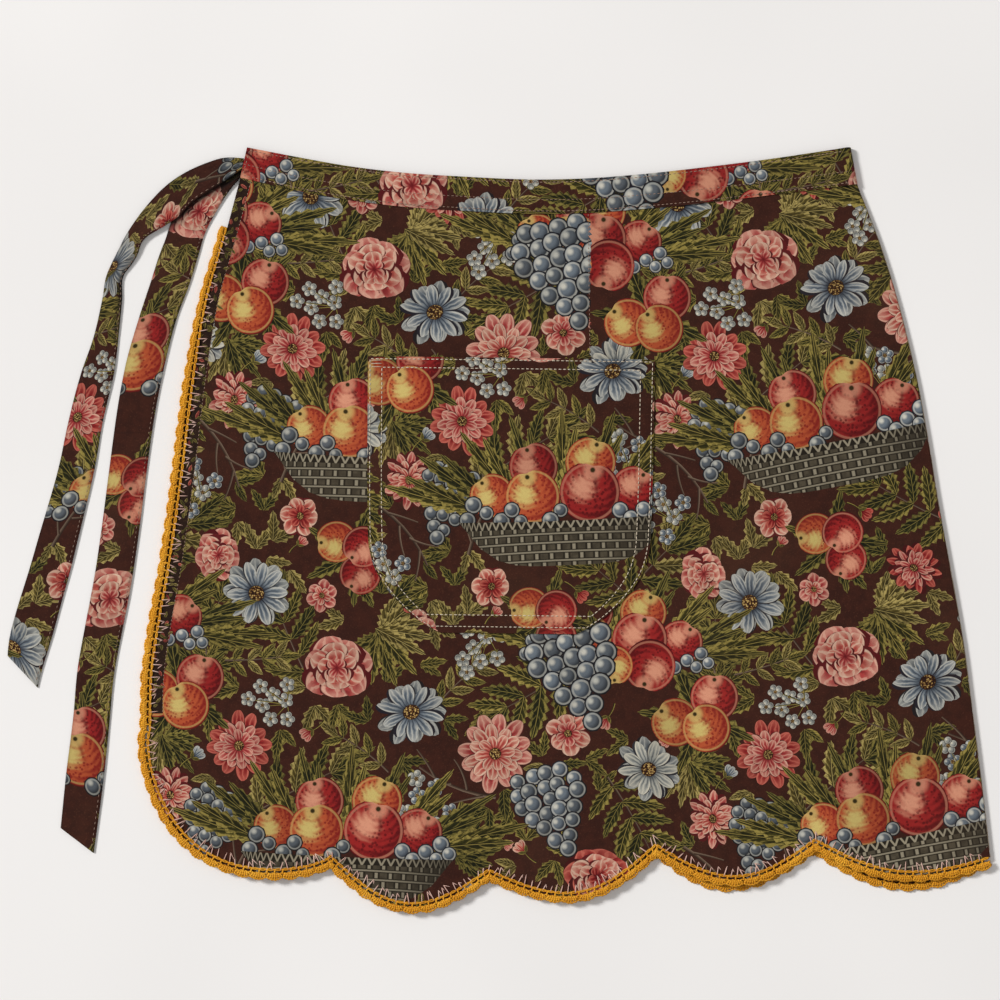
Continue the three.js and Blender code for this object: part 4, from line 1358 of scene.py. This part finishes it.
class Folded:
    """A cloth folded in half about its right edge: flat points have u = x on the upper layer, and
    run on past the bend on the lower one."""

    def __init__(self, fold, radius, raised):
        self.fold, self.radius, self.raised = fold, radius, raised

    def to_space(self, flat):
        u, y = flat[:, 0], flat[:, 1]
        start = self.fold(y) - self.radius
        turn = np.clip((u - start) / self.radius, 0, math.pi)
        past = np.maximum(u - start - math.pi * self.radius, 0)
        x = np.where(u < start, u, start + self.radius * np.sin(turn) - past)
        z = self.radius * (1 + np.cos(turn)) + self.raised(x, y, u < start)
        return np.stack([x, y, z], axis=1)

    def lower(self, points):
        """Flat points for points of the lower layer, given as seen from above."""
        start = self.fold(points[:, 1]) - self.radius
        return xy(2 * start + math.pi * self.radius - points[:, 0], points[:, 1])

    def is_lower(self, points):
        return points[:, 0] > self.fold(points[:, 1]) + 0.57 * self.radius

    def creases(self, low, high):
        """Lines along the bend, where the flat cloth is cut so that it can turn."""
        y = np.arange(low - 4, high + 4, 4.0)
        start = self.fold(y) - self.radius
        return [xy(start + part * math.pi * self.radius, y) for part in BEND_PARTS]

    def on_crease(self, points):
        into = (points[:, 0] - self.fold(points[:, 1]) + self.radius) / (math.pi * self.radius)
        return (np.abs(into[:, None] - BEND_PARTS) < 0.012).any(axis=1)

    def beside_bend(self, points):
        into = points[:, 0] - self.fold(points[:, 1]) + self.radius
        return (into > -1.5) & (into < math.pi * self.radius + 1.5)

    def from_lower(self, points, lower):
        """Points as seen from above again, where they are those of a shape of the lower layer."""
        return np.where(lower[:, None], self.lower(points), points)


SKIRT_RADIUS = CLOTH_WALL + LAYER_GAP / 2
BAND_RADIUS = BAND_WALL + BAND_GAP / 2
UNDER_BAND = 8.0
UNDER_CROCHET = 4.6


def skirt_fold(y):
    top = skirt_top(1)[1]
    above = HALF_WAIST + BAND_SPLAY * y / float(waist_seam(1)[1]) - 0.9
    return np.where(y > top + 0.5, above, fold_x(y))


def skirt_raised(x, y, upper):
    return np.where(upper, ripple(x, y) + lie(x, y), 0.08)


SKIRT_CLOTH = Folded(skirt_fold, SKIRT_RADIUS, skirt_raised)


def densify(points, longest=5.0):
    """A polygon with its long edges divided."""
    rows = []
    for a, b in zip(points, np.roll(points, -1, axis=0)):
        count = max(1, int(math.ceil(np.linalg.norm(b - a) / longest)))
        rows.append(a + (b - a) * (np.arange(count) / count)[:, None])
    return np.concatenate(rows)


def edge_path(back):
    """The edge that carries the crochet: points from below the waistband to the fold, the direction off
    the cloth at each, and the distances along it."""
    side = side_edge(np.linspace(EDGING_START, 1, 120, endpoint=False))
    low = hem(np.linspace(0, 1, 600), back)
    low[:, 0] -= SKIRT_RADIUS * np.linspace(0, 1, 600)
    points = np.concatenate([side, low])
    lengths = distances(points)
    even = np.linspace(0, lengths[-1], 1400)
    points = along_line(even, lengths, points)
    ahead, behind = along_line(even + 6, even, points), along_line(even - 6, even, points)
    outward = xy((ahead - behind)[:, 1], -(ahead - behind)[:, 0])
    outward /= np.linalg.norm(outward, axis=1)[:, None]
    return points, outward, even


PATHS = {back: edge_path(back) for back in (False, True)}


def under_crochet(back):
    points, outward, along = PATHS[back]
    reach = UNDER_CROCHET * smooth(along, 0, 60) * smooth(along[-1] - along, -1, 8)
    grown = points + outward * reach[:, None]
    keep = np.concatenate([[True], np.linalg.norm(np.diff(grown, axis=0), axis=1) > 0.12])
    return grown[keep][::3]


def skirt_outline():
    share = np.linspace(0, 1, 80)
    top = skirt_top(share) - xy(SKIRT_RADIUS * share, 0) + (0, UNDER_BAND)
    top[0, 0] += 1.6
    top[-1, 0] = float(skirt_fold(top[-1, 1])) - SKIRT_RADIUS
    sides = {}
    for back in (False, True):
        upper = side_edge(np.linspace(0, EDGING_START, 10, endpoint=False))
        sides[back] = np.concatenate([upper, under_crochet(back)])
        sides[back][-1, 0] = float(skirt_fold(sides[back][-1, 1])) - SKIRT_RADIUS
    lower = SKIRT_CLOTH.lower(np.concatenate([top[::-1], sides[True]]))
    return np.concatenate([sides[False][::-1], top, lower])


DART_SHIFT = 24
DART_END = -215
DART_HEIGHT = 190


def panel_shift(place):
    """How far the print is moved beside the seam, as a dart takes in the cloth above the pocket."""
    return -DART_SHIFT * np.clip((place[1] - DART_END) / DART_HEIGHT, 0, 1)


UPPER_LEFT, UPPER_RIGHT, LOWER = 0, 1, 2
BESIDE_SEAM = 60
LOWER_LAY = (70, 50)
SMALLEST_BELOW = 15


def skirt_print():
    """The print of both layers. Beside the seam a motif is drawn for its own side only."""
    shapes = []
    for motif in lay_print((-150, -600), (640, 60), flared):
        middle = np.mean([s.outline.mean(axis=0) for s in motif], axis=0)
        if not (-110 < middle[0] < 545 and -560 < middle[1] < 30):
            continue
        shift = panel_shift(middle)
        if shift == 0:
            copies = [((UPPER_LEFT, UPPER_RIGHT), 0.0)]
        else:
            copies = [((UPPER_LEFT,), 0.0)] if middle[0] < SEAM_X + BESIDE_SEAM else []
            copies += [((UPPER_RIGHT,), shift)] if middle[0] > SEAM_X - BESIDE_SEAM else []
        for zones, moved_by in copies:
            for s in motif:
                moved = s.placed(0, (moved_by, 0))
                moved.zones = zones
                shapes.append(moved)
    for motif in lay_print((-150, -640), (560, 60), lambda x, y: flared(x + LOWER_LAY[0], y + LOWER_LAY[1])):
        for s in motif:
            low, high = bounds_of(s)
            if max(high - low) < SMALLEST_BELOW or low[0] < -130 or high[1] < -560:
                continue
            s.back, s.zones = True, (LOWER,)
            s.outline = SKIRT_CLOTH.lower(s.outline)
            shapes.append(s)
    return shapes


def side_line(inset):
    """A line inside the side edge, from the waist seam to the rounded corner."""
    share = np.linspace(0.0, 0.97, 160)
    points = side_edge(share)
    ahead = np.gradient(points, axis=0)
    inward = xy(-ahead[:, 1], ahead[:, 0]) / np.linalg.norm(ahead, axis=1)[:, None]
    return points + inward * inset


def side_hem():
    """The turned hem along the side edge, whose print is small and dark."""
    rng = random.Random(PATTERN_SEED + 3)
    inner = side_line(HEM_FOLD)
    outline = np.concatenate([side_line(-7), inner[::-1]])
    shapes = [Shape(outline, (0, 0), (1, 0), (0, 1), PLAIN, "hem")]
    for k in range(150):
        place = inner[rng.randrange(len(inner))] - (rng.uniform(0.8, 7.0), 0)
        shapes.append(blade(place, rng.uniform(0, 2 * math.pi), rng.uniform(3, 6), 2.0,
                            rng.choice(("moss", "olive", "khaki", "red", "moss")), LEAF))
    for shape in shapes:
        shape.zones = (UPPER_LEFT,)
    return shapes


def fold_edge_highlight():
    """A painted highlight along the fold's edge: a pale strip where light catches the bend."""
    y = np.linspace(-30, -482, 110)
    start = SKIRT_CLOTH.fold(y) - SKIRT_RADIUS
    outline = np.concatenate([xy(start + 1.15 + 0.2 * np.sin(y / 9), y), xy(start + 3.6, y)[::-1]])
    strip = Shape(outline, (0, 0), (1, 0), (0, 1), PLAIN, "cream")
    strip.zones = (UPPER_LEFT, UPPER_RIGHT, LOWER)
    return strip


def skirt_zones(points):
    return np.where(SKIRT_CLOTH.is_lower(points), LOWER,
                    np.where(points[:, 0] > SEAM_X, UPPER_RIGHT, UPPER_LEFT))


outline = skirt_outline()
low, high = outline.min(axis=0), outline.max(axis=0)
shapes = list(near(skirt_print(), low, high)) + side_hem() + [fold_edge_highlight()]
skirt = printed_cloth("skirt_cloth", outline, shapes, SKIRT_CLOTH.to_space, COTTON, COTTON_PRINT, "skirt",
                      zones=skirt_zones, own=SKIRT_CLOTH.from_lower, folded=SKIRT_CLOTH)


# Waistband, folded with the skirt and pressed thinner at its sewn edges
def band_fold(y):
    return HALF_WAIST + BAND_SPLAY * y / float(waist_seam(1)[1])


def band_from_edge(x, y):
    share = np.clip(x / HALF_WAIST, 0, 1)
    return np.clip(np.minimum(waist_top(share)[..., 1] - y, y - waist_seam(share)[..., 1]), 0, None)


def band_raised(x, y, upper):
    away = band_from_edge(x, y)
    pucker = 0.12 * np.sin(x / 1.7 + 2.1 * np.sin(x / 23)) * np.exp(-(((away - 3.4) / 2.2) ** 2))
    slow = 0.15 * np.sin(x / 15 + y / 6) * np.sin(x / 37)
    front = -0.9 * np.exp(-((away / 1.3) ** 2)) - 0.18 * np.exp(-(((away - 2.1) / 0.6) ** 2)) + pucker + slow
    return np.where(upper, front * smooth(HALF_WAIST - 4 - x, 0, 6), 0.05)


BAND_CLOTH = Folded(band_fold, BAND_RADIUS, band_raised)


def band_outline():
    share = np.linspace(0, 1, 110)
    top = waist_top(share) - xy(BAND_RADIUS * share, 0)
    seam = waist_seam(share) - xy(BAND_RADIUS * share, 0)
    lower = BAND_CLOTH.lower(np.concatenate([top[::-1], seam]))
    return np.concatenate([seam[::-1], top, lower])


# Where the print starts on each cloth that is cut apart from the skirt, and how thick the cloth shows
BAND_LAY, POCKET_LAY = (40.0, 62.0), (128.0, -38.0)
TIE_BACK_LAY, TIE_FRONT_LAY = (-59.0, -222.0), (-12.0, -70.0)
BAND_COTTON = TIE_COTTON = 1.1
POCKET_COTTON = 0.95
PRINT_MARGIN = 60


def plain_print(shift, low, high, bowls=True):
    laid = lay_print(low - PRINT_MARGIN - shift, high + PRINT_MARGIN - shift, upright(shift))
    return list(near([s for motif in laid for s in motif if bowls or s.kind != BOWL], low, high))


band_edge = densify(band_outline(), 5)
low, high = band_edge.min(axis=0), band_edge.max(axis=0)
band_shapes = plain_print(BAND_LAY, low - (60, 80), high + (60, 60), False)
waistband = printed_cloth("band_cloth", band_edge, band_shapes, BAND_CLOTH.to_space, BAND_COTTON, COTTON_PRINT,
                          "waistband", step=3.5, folded=BAND_CLOTH)


# Ties
def tie_sections(rows, root_share, drop, spread, root_height):
    """Near and far edges of a tie and its height, for distances along it."""
    down = np.linspace(0, 1, 260)
    root_y = float(waist_seam(0)[1]) * root_share
    y = root_y - drop * down
    near_x = edge_x(y) - SEAM_GAP - spread * read(rows, "down", "apart", down)
    far_y = y + TIE_WIDTH * read(rows, "down", "slant", down)
    across = TIE_WIDTH * read(rows, "down", "across", down)
    beside = edge_x(far_y) - SEAM_GAP
    far_x = np.minimum(near_x - across, beside)
    near_x = np.minimum(near_x, edge_x(y) - SEAM_GAP)
    height = (read(rows, "down", "root", down) * root_height
              + read(rows, "down", "over", down) * (TIE_WALL + TIE_CROSSING_GAP)).clip(0)
    near_edge, far_edge = xy(near_x, y), xy(far_x, far_y)
    middle = (near_edge + far_edge) / 2
    return near_edge, far_edge, height, distances(middle)


def tie_lie(sections, wrinkle):
    near_edge, far_edge, height, along = sections

    def to_space(flat):
        t = np.clip(1 - flat[:, 0] / TIE_WIDTH, 0, 1)
        s = np.clip(-flat[:, 1], 0, along[-1])
        spot = (along_line(s, along, near_edge) * (1 - t)[:, None]
                + along_line(s, along, far_edge) * t[:, None])
        away = TIE_WIDTH * np.minimum(t, 1 - t)
        z = np.interp(s, along, height) + TIE_WALL - 0.5 * np.exp(-((away / 1.1) ** 2))
        z = z - 0.1 * np.exp(-(((away - 2.0) / 0.6) ** 2))
        gather = np.exp(-s / 16) * wrinkle
        z = z + gather * (0.8 * np.sin(t * 21 + 0.06 * s) + 0.35 * np.sin(t * 47 + 1)) * smooth(away, 0, 3)
        z = z + 0.12 * np.sin(s / 13 + 3 * t) * np.sin(t * 4 + s / 29)
        return np.column_stack([spot, z])
    return to_space


def front_shade(flat, _):
    """Painted shade on the upper tie: in its gathers, where its inner edge rolls under, and along both edges."""
    t, s = 1 - flat[:, 0] / TIE_WIDTH, -flat[:, 1]
    gathers = 0.75 * np.exp(-s / 17) * (0.5 + 0.5 * np.sin(t * 19 + 0.05 * s))
    rolled = 0.9 * np.exp(-(((s - 128) / 26) ** 2)) * smooth(-t, -0.45, -0.05)
    edge = 0.35 * np.exp(-np.minimum(t, 1 - t) * TIE_WIDTH / 1.6)
    return 1 - np.clip(gathers + rolled + edge, 0, 0.95)


def back_shade(flat, spots):
    """Painted shade on the lower tie in its gathers and along both edges, and the painted shadow of the tie that
    crosses it.
    """
    t, s = 1 - flat[:, 0] / TIE_WIDTH, -flat[:, 1]
    gathers = 0.7 * np.exp(-s / 14) * (0.5 + 0.5 * np.sin(t * 17))
    crossing = FRONT_SECTIONS[0][:120]
    away = np.min(np.linalg.norm(spots[:, None, :2] - crossing[None], axis=2), axis=1)
    beside = 0.95 * np.exp(-((away / 4.2) ** 2)) * smooth(-s, -92, -60)
    edge = 0.35 * np.exp(-np.minimum(t, 1 - t) * TIE_WIDTH / 1.6)
    return 1 - np.clip(gathers + beside + edge, 0, 0.95)


def reach_under(sections):
    """The lower tie's far edge goes on a little under the tie that crosses it."""
    near_edge, far_edge, height, along = sections
    away = (far_edge - near_edge) / np.linalg.norm(far_edge - near_edge, axis=1)[:, None]
    reach = 3.2 * smooth(along, 3, 14) * (1 - smooth(along, 46, 64))
    return near_edge, far_edge + away * reach[:, None], height, along


FRONT_SPREAD = TIE_SPREAD + TIE_WIDTH + TIES_APART
FRONT_SECTIONS = tie_sections(TIE_FRONT, TIE_FRONT_ROOT, TIE_FRONT_DROP, FRONT_SPREAD,
                              BAND_WALL + BAND_GAP + (BAND_WALL - TIE_WALL) / 2)
BACK_SECTIONS = reach_under(tie_sections(TIE_BACK, TIE_BACK_ROOT, TIE_BACK_DROP, TIE_SPREAD,
                                         (BAND_WALL - TIE_WALL) / 2))


def build_tie(name, sections, shift, wrinkle, shade):
    length = sections[3][-1]
    corners = np.array([(0, 0), (0, -length), (TIE_WIDTH, -length), (TIE_WIDTH, 0)])
    edge = densify(corners, 4)
    low, high = edge.min(axis=0), edge.max(axis=0)
    shapes = plain_print(shift, low - (80, 80), high + (80, 80), False)
    lie_of = tie_lie(sections, wrinkle)
    piece = printed_cloth(name + "_cloth", edge, shapes, lie_of, TIE_COTTON, COTTON_PRINT, name,
                          step=2.5, shade=shade)
    return piece, length, lie_of


tie_back, tie_back_length, on_tie_back = build_tie("tie_back", BACK_SECTIONS, TIE_BACK_LAY, 0.35, back_shade)
tie_front, tie_front_length, on_tie_front = build_tie("tie_front", FRONT_SECTIONS, TIE_FRONT_LAY, 0.7, front_shade)


# Pocket
POCKET_MOUTH = np.array([POCKET_FROM_SIDE, -POCKET_BELOW_WAIST])
POCKET_TURN = math.radians(POCKET_TURN_DEG)
ON_SKIRT = 2 * CLOTH_WALL + LAYER_GAP + SEAM_GAP


def pocket_plan(across, down, inset=0.0):
    half = (POCKET_WIDTH / 2) * read(POCKET_OUTLINE, "down", "half", down) - inset
    x, y = across * half, -POCKET_HEIGHT * down
    c, s = math.cos(POCKET_TURN), math.sin(POCKET_TURN)
    return xy(c * x - s * y, s * x + c * y) + POCKET_MOUTH


def on_pocket(flat):
    local = flat - POCKET_MOUTH
    c, s = math.cos(-POCKET_TURN), math.sin(-POCKET_TURN)
    x, y = c * local[:, 0] - s * local[:, 1], s * local[:, 0] + c * local[:, 1]
    down = np.clip(-y / POCKET_HEIGHT, 0, 1)
    half = (POCKET_WIDTH / 2) * read(POCKET_OUTLINE, "down", "half", down)
    across = np.clip(np.abs(x) / half, 0, 1)
    room = 0.5 * POCKET_ROOM * (1 - across ** 2.6) * (1 - down ** 1.8)
    away = np.minimum.reduce([half * (1 - across), -y, POCKET_HEIGHT + y])
    z = ON_SKIRT + ripple(flat[:, 0], flat[:, 1]) + room + POCKET_WALL
    z = z - 0.35 * np.exp(-((away / 1.0) ** 2)) - 0.15 * np.exp(-(((away - 1.9) / 0.6) ** 2))
    z = z + 0.12 * np.sin(x / 11 + 2 * np.sin(y / 29)) * np.sin(y / 17 + x / 41)
    return np.stack([flat[:, 0], flat[:, 1], z], axis=1)


def pocket_outline():
    down = np.concatenate([np.linspace(0, 0.6, 16), np.linspace(0.63, 1, 26)])
    left, right = pocket_plan(-1, down), pocket_plan(1, down)
    return densify(np.concatenate([left, right[::-1]]), 4)


pocket_edge = pocket_outline()
low, high = pocket_edge.min(axis=0), pocket_edge.max(axis=0)
pocket = printed_cloth("pocket_cloth", pocket_edge, plain_print(POCKET_LAY, low, high), on_pocket,
                       POCKET_COTTON, COTTON_PRINT, "pocket", step=5.0)


# Crochet: yarn worked along both layers' edges
YARN_RADIUS = 0.62


class Edge:
    """Points beside one layer's edge, by the distance along it, off the cloth and above it."""

    def __init__(self, back):
        self.points, self.outward, self.along = PATHS[back]
        self.total = self.along[-1]
        self.units = int(round(self.total / EDGING_PITCH))
        self.pitch = self.total / self.units
        self.base = COTTON + 0.08 if back else 2 * CLOTH_WALL + LAYER_GAP
        self.back = back

    def at(self, distance, off, above):
        distance, off, above = np.broadcast_arrays(*(np.asarray(v, float) for v in (distance, off, above)))
        spot, out = (along_line(distance, self.along, values) for values in (self.points, self.outward))
        grown = EDGING_START_SHARE + (1 - EDGING_START_SHARE) * smooth(distance, 0, EDGING_TAPER)
        x, y = (spot[..., k] + out[..., k] * off * grown for k in range(2))
        lift = 0 if self.back else ripple(spot[..., 0], spot[..., 1])
        return np.stack([x, y, self.base + lift + above], axis=-1)


def crochet(edge):
    """The runs of yarn: a plaited chain on the cloth, posts that leave the eyelets, and shells."""
    rng = random.Random(PATTERN_SEED)
    runs = []
    half = edge.pitch / 2
    for k in range(2 * edge.units):
        start = k * half
        t = np.linspace(0, 1.15, 8)
        for side in (-1, 1):
            wave = np.sin(np.pi * np.clip(t, 0, 1)) * side
            runs.append((edge.at(start + t * half, 0.9 + 0.55 * wave + rng.uniform(-0.15, 0.15),
                                 0.55 + 0.35 * np.cos(np.pi * t)), 0.52))
        t = np.linspace(0, 1, 4)
        lean = rng.uniform(-0.5, 0.5)
        runs.append((edge.at(start + 0.4 + lean * t, 1.1 + 3.1 * t, 0.7 + 0.25 * np.sin(np.pi * t)), YARN_RADIUS))
    for k in range(edge.units):
        middle = (k + 0.5) * edge.pitch + rng.uniform(-0.25, 0.25)
        for post in range(7):
            spread = (post - 3) / 3
            top = 7.3 * rng.uniform(0.93, 1.04) - 1.5 * spread * spread
            t = np.linspace(0, 1, 6)
            for side in (-1, 1):
                bow = side * 0.42 * np.sin(np.pi * t)
                along = middle + half * spread * (0.62 + 0.3 * t) + bow
                off = 3.6 + (top - 3.6) * t
                runs.append((edge.at(along, off, 0.5 + 0.6 * np.sin(np.pi * t) + 0.14 * side), YARN_RADIUS))
        t = np.linspace(-1.02, 1.02, 15)
        rim = 5.7 + 2.1 * np.cos(t * 1.4) * rng.uniform(0.85, 1.1) + 0.3 * np.sin(t * 15)
        runs.append((edge.at(middle + t * half, rim, 0.6 + 0.4 * np.cos(t * 15)), 0.66))
        rim = 3.7 + 0.35 * np.sin(t * 11 + 1)
        runs.append((edge.at(middle + t * half, rim, 0.75 + 0.3 * np.cos(t * 11)), 0.6))
    return runs


crochet_upper = strands("crochet_upper", crochet(Edge(False)), YARN, "crochet_edging")
crochet_lower = strands("crochet_lower", crochet(Edge(True)), YARN, "crochet_edging")


# Stitching
def stitch(a, b, above, radius):
    """One stitch from a to b, its ends sunk into the cloth."""
    t = np.linspace(0, 1, 5)[:, None]
    points = np.asarray(a) * (1 - t) + np.asarray(b) * t
    points[:, 2] += above * np.sin(np.pi * t[:, 0]) - 0.12
    return points, radius * np.array([0.55, 1, 1, 1, 0.55])


EDGE_ROW = 1.9
INNER_ROW = 9.6


def row_of_stitches(line, to_space, length, pitch, above, radius, seed):
    """Straight stitches along a line of flat points."""
    rng = random.Random(seed)
    lengths = distances(line)
    count = int(lengths[-1] / pitch)
    runs = []
    for k in range(count):
        start = (k + 0.2) * lengths[-1] / count
        ends = start + np.array([0, length * rng.uniform(0.85, 1.1)])
        a, b = to_space(along_line(ends, lengths, line))
        runs.append(stitch(a, b, above, radius))
    return runs


def whip_stitches():
    """Long stitches over the hem, square to the edge, a little uneven as they are sewn by hand."""
    rng = random.Random(PATTERN_SEED + 1)
    points, outward, along = PATHS[False]
    runs = []
    place = 6.0
    while place < along[-1] - 3:
        spot, out = along_line(place, along, points), along_line(place, along, outward)
        along_edge = np.array([-out[1], out[0]])
        grown = 0.6 + 0.4 * float(smooth(place, 0, 90))
        reach = rng.uniform(2.4, 6.2) * grown
        slant = rng.uniform(-2.2, 2.2)
        flat = np.stack([spot + out * 1.3, spot - out * reach + along_edge * slant])
        a, b = SKIRT_CLOTH.to_space(flat)
        a[2] += 0.9
        runs.append(stitch(a, b, 0.35, rng.uniform(0.32, 0.44)))
        if rng.random() < 0.6:
            flat = np.stack([spot - out * reach + along_edge * slant,
                             spot - out * reach * rng.uniform(0.2, 0.6) + along_edge * rng.uniform(1.6, 2.6)])
            a, b = SKIRT_CLOTH.to_space(flat)
            runs.append(stitch(a, b, 0.25, 0.27))
        place += rng.uniform(3.4, 5.6)
    return runs


def band_line(inset, from_top):
    share = np.linspace(0.004, 0.985, 200)
    edge = waist_top(share) if from_top else waist_seam(share)
    return edge + (0, -inset if from_top else inset)


whip = strands("whip_stitches", whip_stitches(), PINK_THREAD)
hem_rows = row_of_stitches(side_line(HEM_FOLD), SKIRT_CLOTH.to_space, 1.3, 2.7, 0.2, 0.24, 2)
seam_line = xy(np.linspace(SEAM_X, SEAM_X + 1.2, 60), np.linspace(float(skirt_top(0.57)[1]), -140, 60))
hem_rows += row_of_stitches(seam_line - (1.4, 0), SKIRT_CLOTH.to_space, 1.6, 2.8, 0.2, 0.22, 3)
skirt_stitches = strands("skirt_stitches", hem_rows, DULL_THREAD)

band_end = np.linspace(waist_top(0) + (EDGE_ROW, -2), waist_seam(0) + (EDGE_ROW, 2), 20)
band_rows = []
for line, radius, seed in ((band_line(EDGE_ROW, False), 0.25, 4), (band_line(INNER_ROW, False), 0.2, 5),
                           (band_line(EDGE_ROW, True), 0.25, 6), (band_end, 0.25, 7)):
    band_rows += row_of_stitches(line, BAND_CLOTH.to_space, 1.9, 2.9, 0.22, radius, seed)
band_stitches = strands("band_stitches", band_rows, DULL_THREAD)


def pocket_rows():
    down = np.concatenate([np.linspace(0.004, 0.6, 60), np.linspace(0.61, 0.985, 60)])
    runs = []
    for inset, top, seed in ((1.6, 1.6, 8), (INNER_ROW, 7.4, 9)):
        reach = POCKET_HEIGHT - inset
        line_down = np.clip(down * reach / POCKET_HEIGHT, top / POCKET_HEIGHT, 1)
        left, right = (pocket_plan(side, line_down, inset) for side in (-1, 1))
        across = pocket_plan(np.linspace(-1, 1, 60), top / POCKET_HEIGHT, inset)
        for line in (left, right, across, np.linspace(left[-1], right[-1], 40)):
            runs += row_of_stitches(line, on_pocket, 2.2, 3.1, 0.26, 0.34, seed)
    for k in range(3):
        corner = pocket_plan(-0.985, 0.014 + 0.012 * k)
        a, b = on_pocket(np.stack([corner + (0.4, 0), corner + (8.2, 0)]))
        runs.append(stitch(a, b, 0.3, 0.24))
    return runs


pocket_stitches = strands("pocket_stitches", pocket_rows(), CREAM_THREAD)

tie_rows = []
for to_space, length, seed in ((on_tie_back, tie_back_length, 10), (on_tie_front, tie_front_length, 11)):
    line = xy(np.full(120, TIE_WIDTH - EDGE_ROW), np.linspace(-14, -length + 2, 120))
    tie_rows += row_of_stitches(line, to_space, 1.8, 3.4, 0.2, 0.2, seed)
tie_stitches = strands("tie_stitches", tie_rows, DULL_THREAD)


# Floor, light and camera
def floor():
    n = Nodes("paper_floor")
    tone = n.mix(colour(243, 241, 239), colour(238, 236, 234), n.step(n.noise(3, 2, n.here()), 0.3, 0.7))
    mesh = bpy.data.meshes.new("floor")
    mesh.from_pydata([(-3, -3, 0), (3, -3, 0), (3, 3, 0), (-3, 3, 0)], [], [(0, 1, 2, 3)])
    mesh.materials.append(n.finish(tone, 0.95))
    plane = bpy.data.objects.new("floor", mesh)
    plane.location.z = -0.0002
    bpy.context.collection.objects.link(plane)
    plane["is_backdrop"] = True


# Each soft light: its place from the photo's centre in metres, its size, power and tint
LIGHTS = {
    "window": ((-9.6, 4.6, 7.8), 3.2, 1640, (1.0, 0.992, 0.985)),
    "overhead": ((0.3, -0.2, 2.9), 2.4, 9, (1.0, 0.99, 0.985)),
}
ROOM_TINT = (1.0, 0.99, 0.985, 1)
ROOM_STRENGTH = 0.34


def soft_light(name, target, offset, size, power, tint):
    data = bpy.data.lights.new(name, "AREA")
    data.shape, data.size, data.energy, data.color = "DISK", size, power, tint
    light = bpy.data.objects.new(name, data)
    light.location = tuple(target + offset)
    light.rotation_euler = (Vector(target) - light.location).to_track_quat("-Z", "Y").to_euler()
    bpy.context.collection.objects.link(light)
    light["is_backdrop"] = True


floor()
centre = (np.array([PHOTO_CENTRE[0], PHOTO_CENTRE[1], 0]) + ORIGIN) * MM
for name, settings in LIGHTS.items():
    soft_light(name, centre, *settings)
world = bpy.data.worlds.new("soft_room")
world.use_nodes = True
background = world.node_tree.nodes["Background"].inputs
background[0].default_value, background[1].default_value = ROOM_TINT, ROOM_STRENGTH
scene = bpy.context.scene
scene.world = world
scene.view_settings.view_transform = "Standard"

camera_data = bpy.data.cameras.new("camera")
camera_data.sensor_width = SENSOR
camera_data.lens = SENSOR * CAMERA_HEIGHT / (1000 * PIXEL * MM)
camera_data.clip_end = 20
camera = bpy.data.objects.new("camera", camera_data)
camera.location = (centre[0], centre[1], CAMERA_HEIGHT)
bpy.context.collection.objects.link(camera)
scene.camera = camera

low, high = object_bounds()
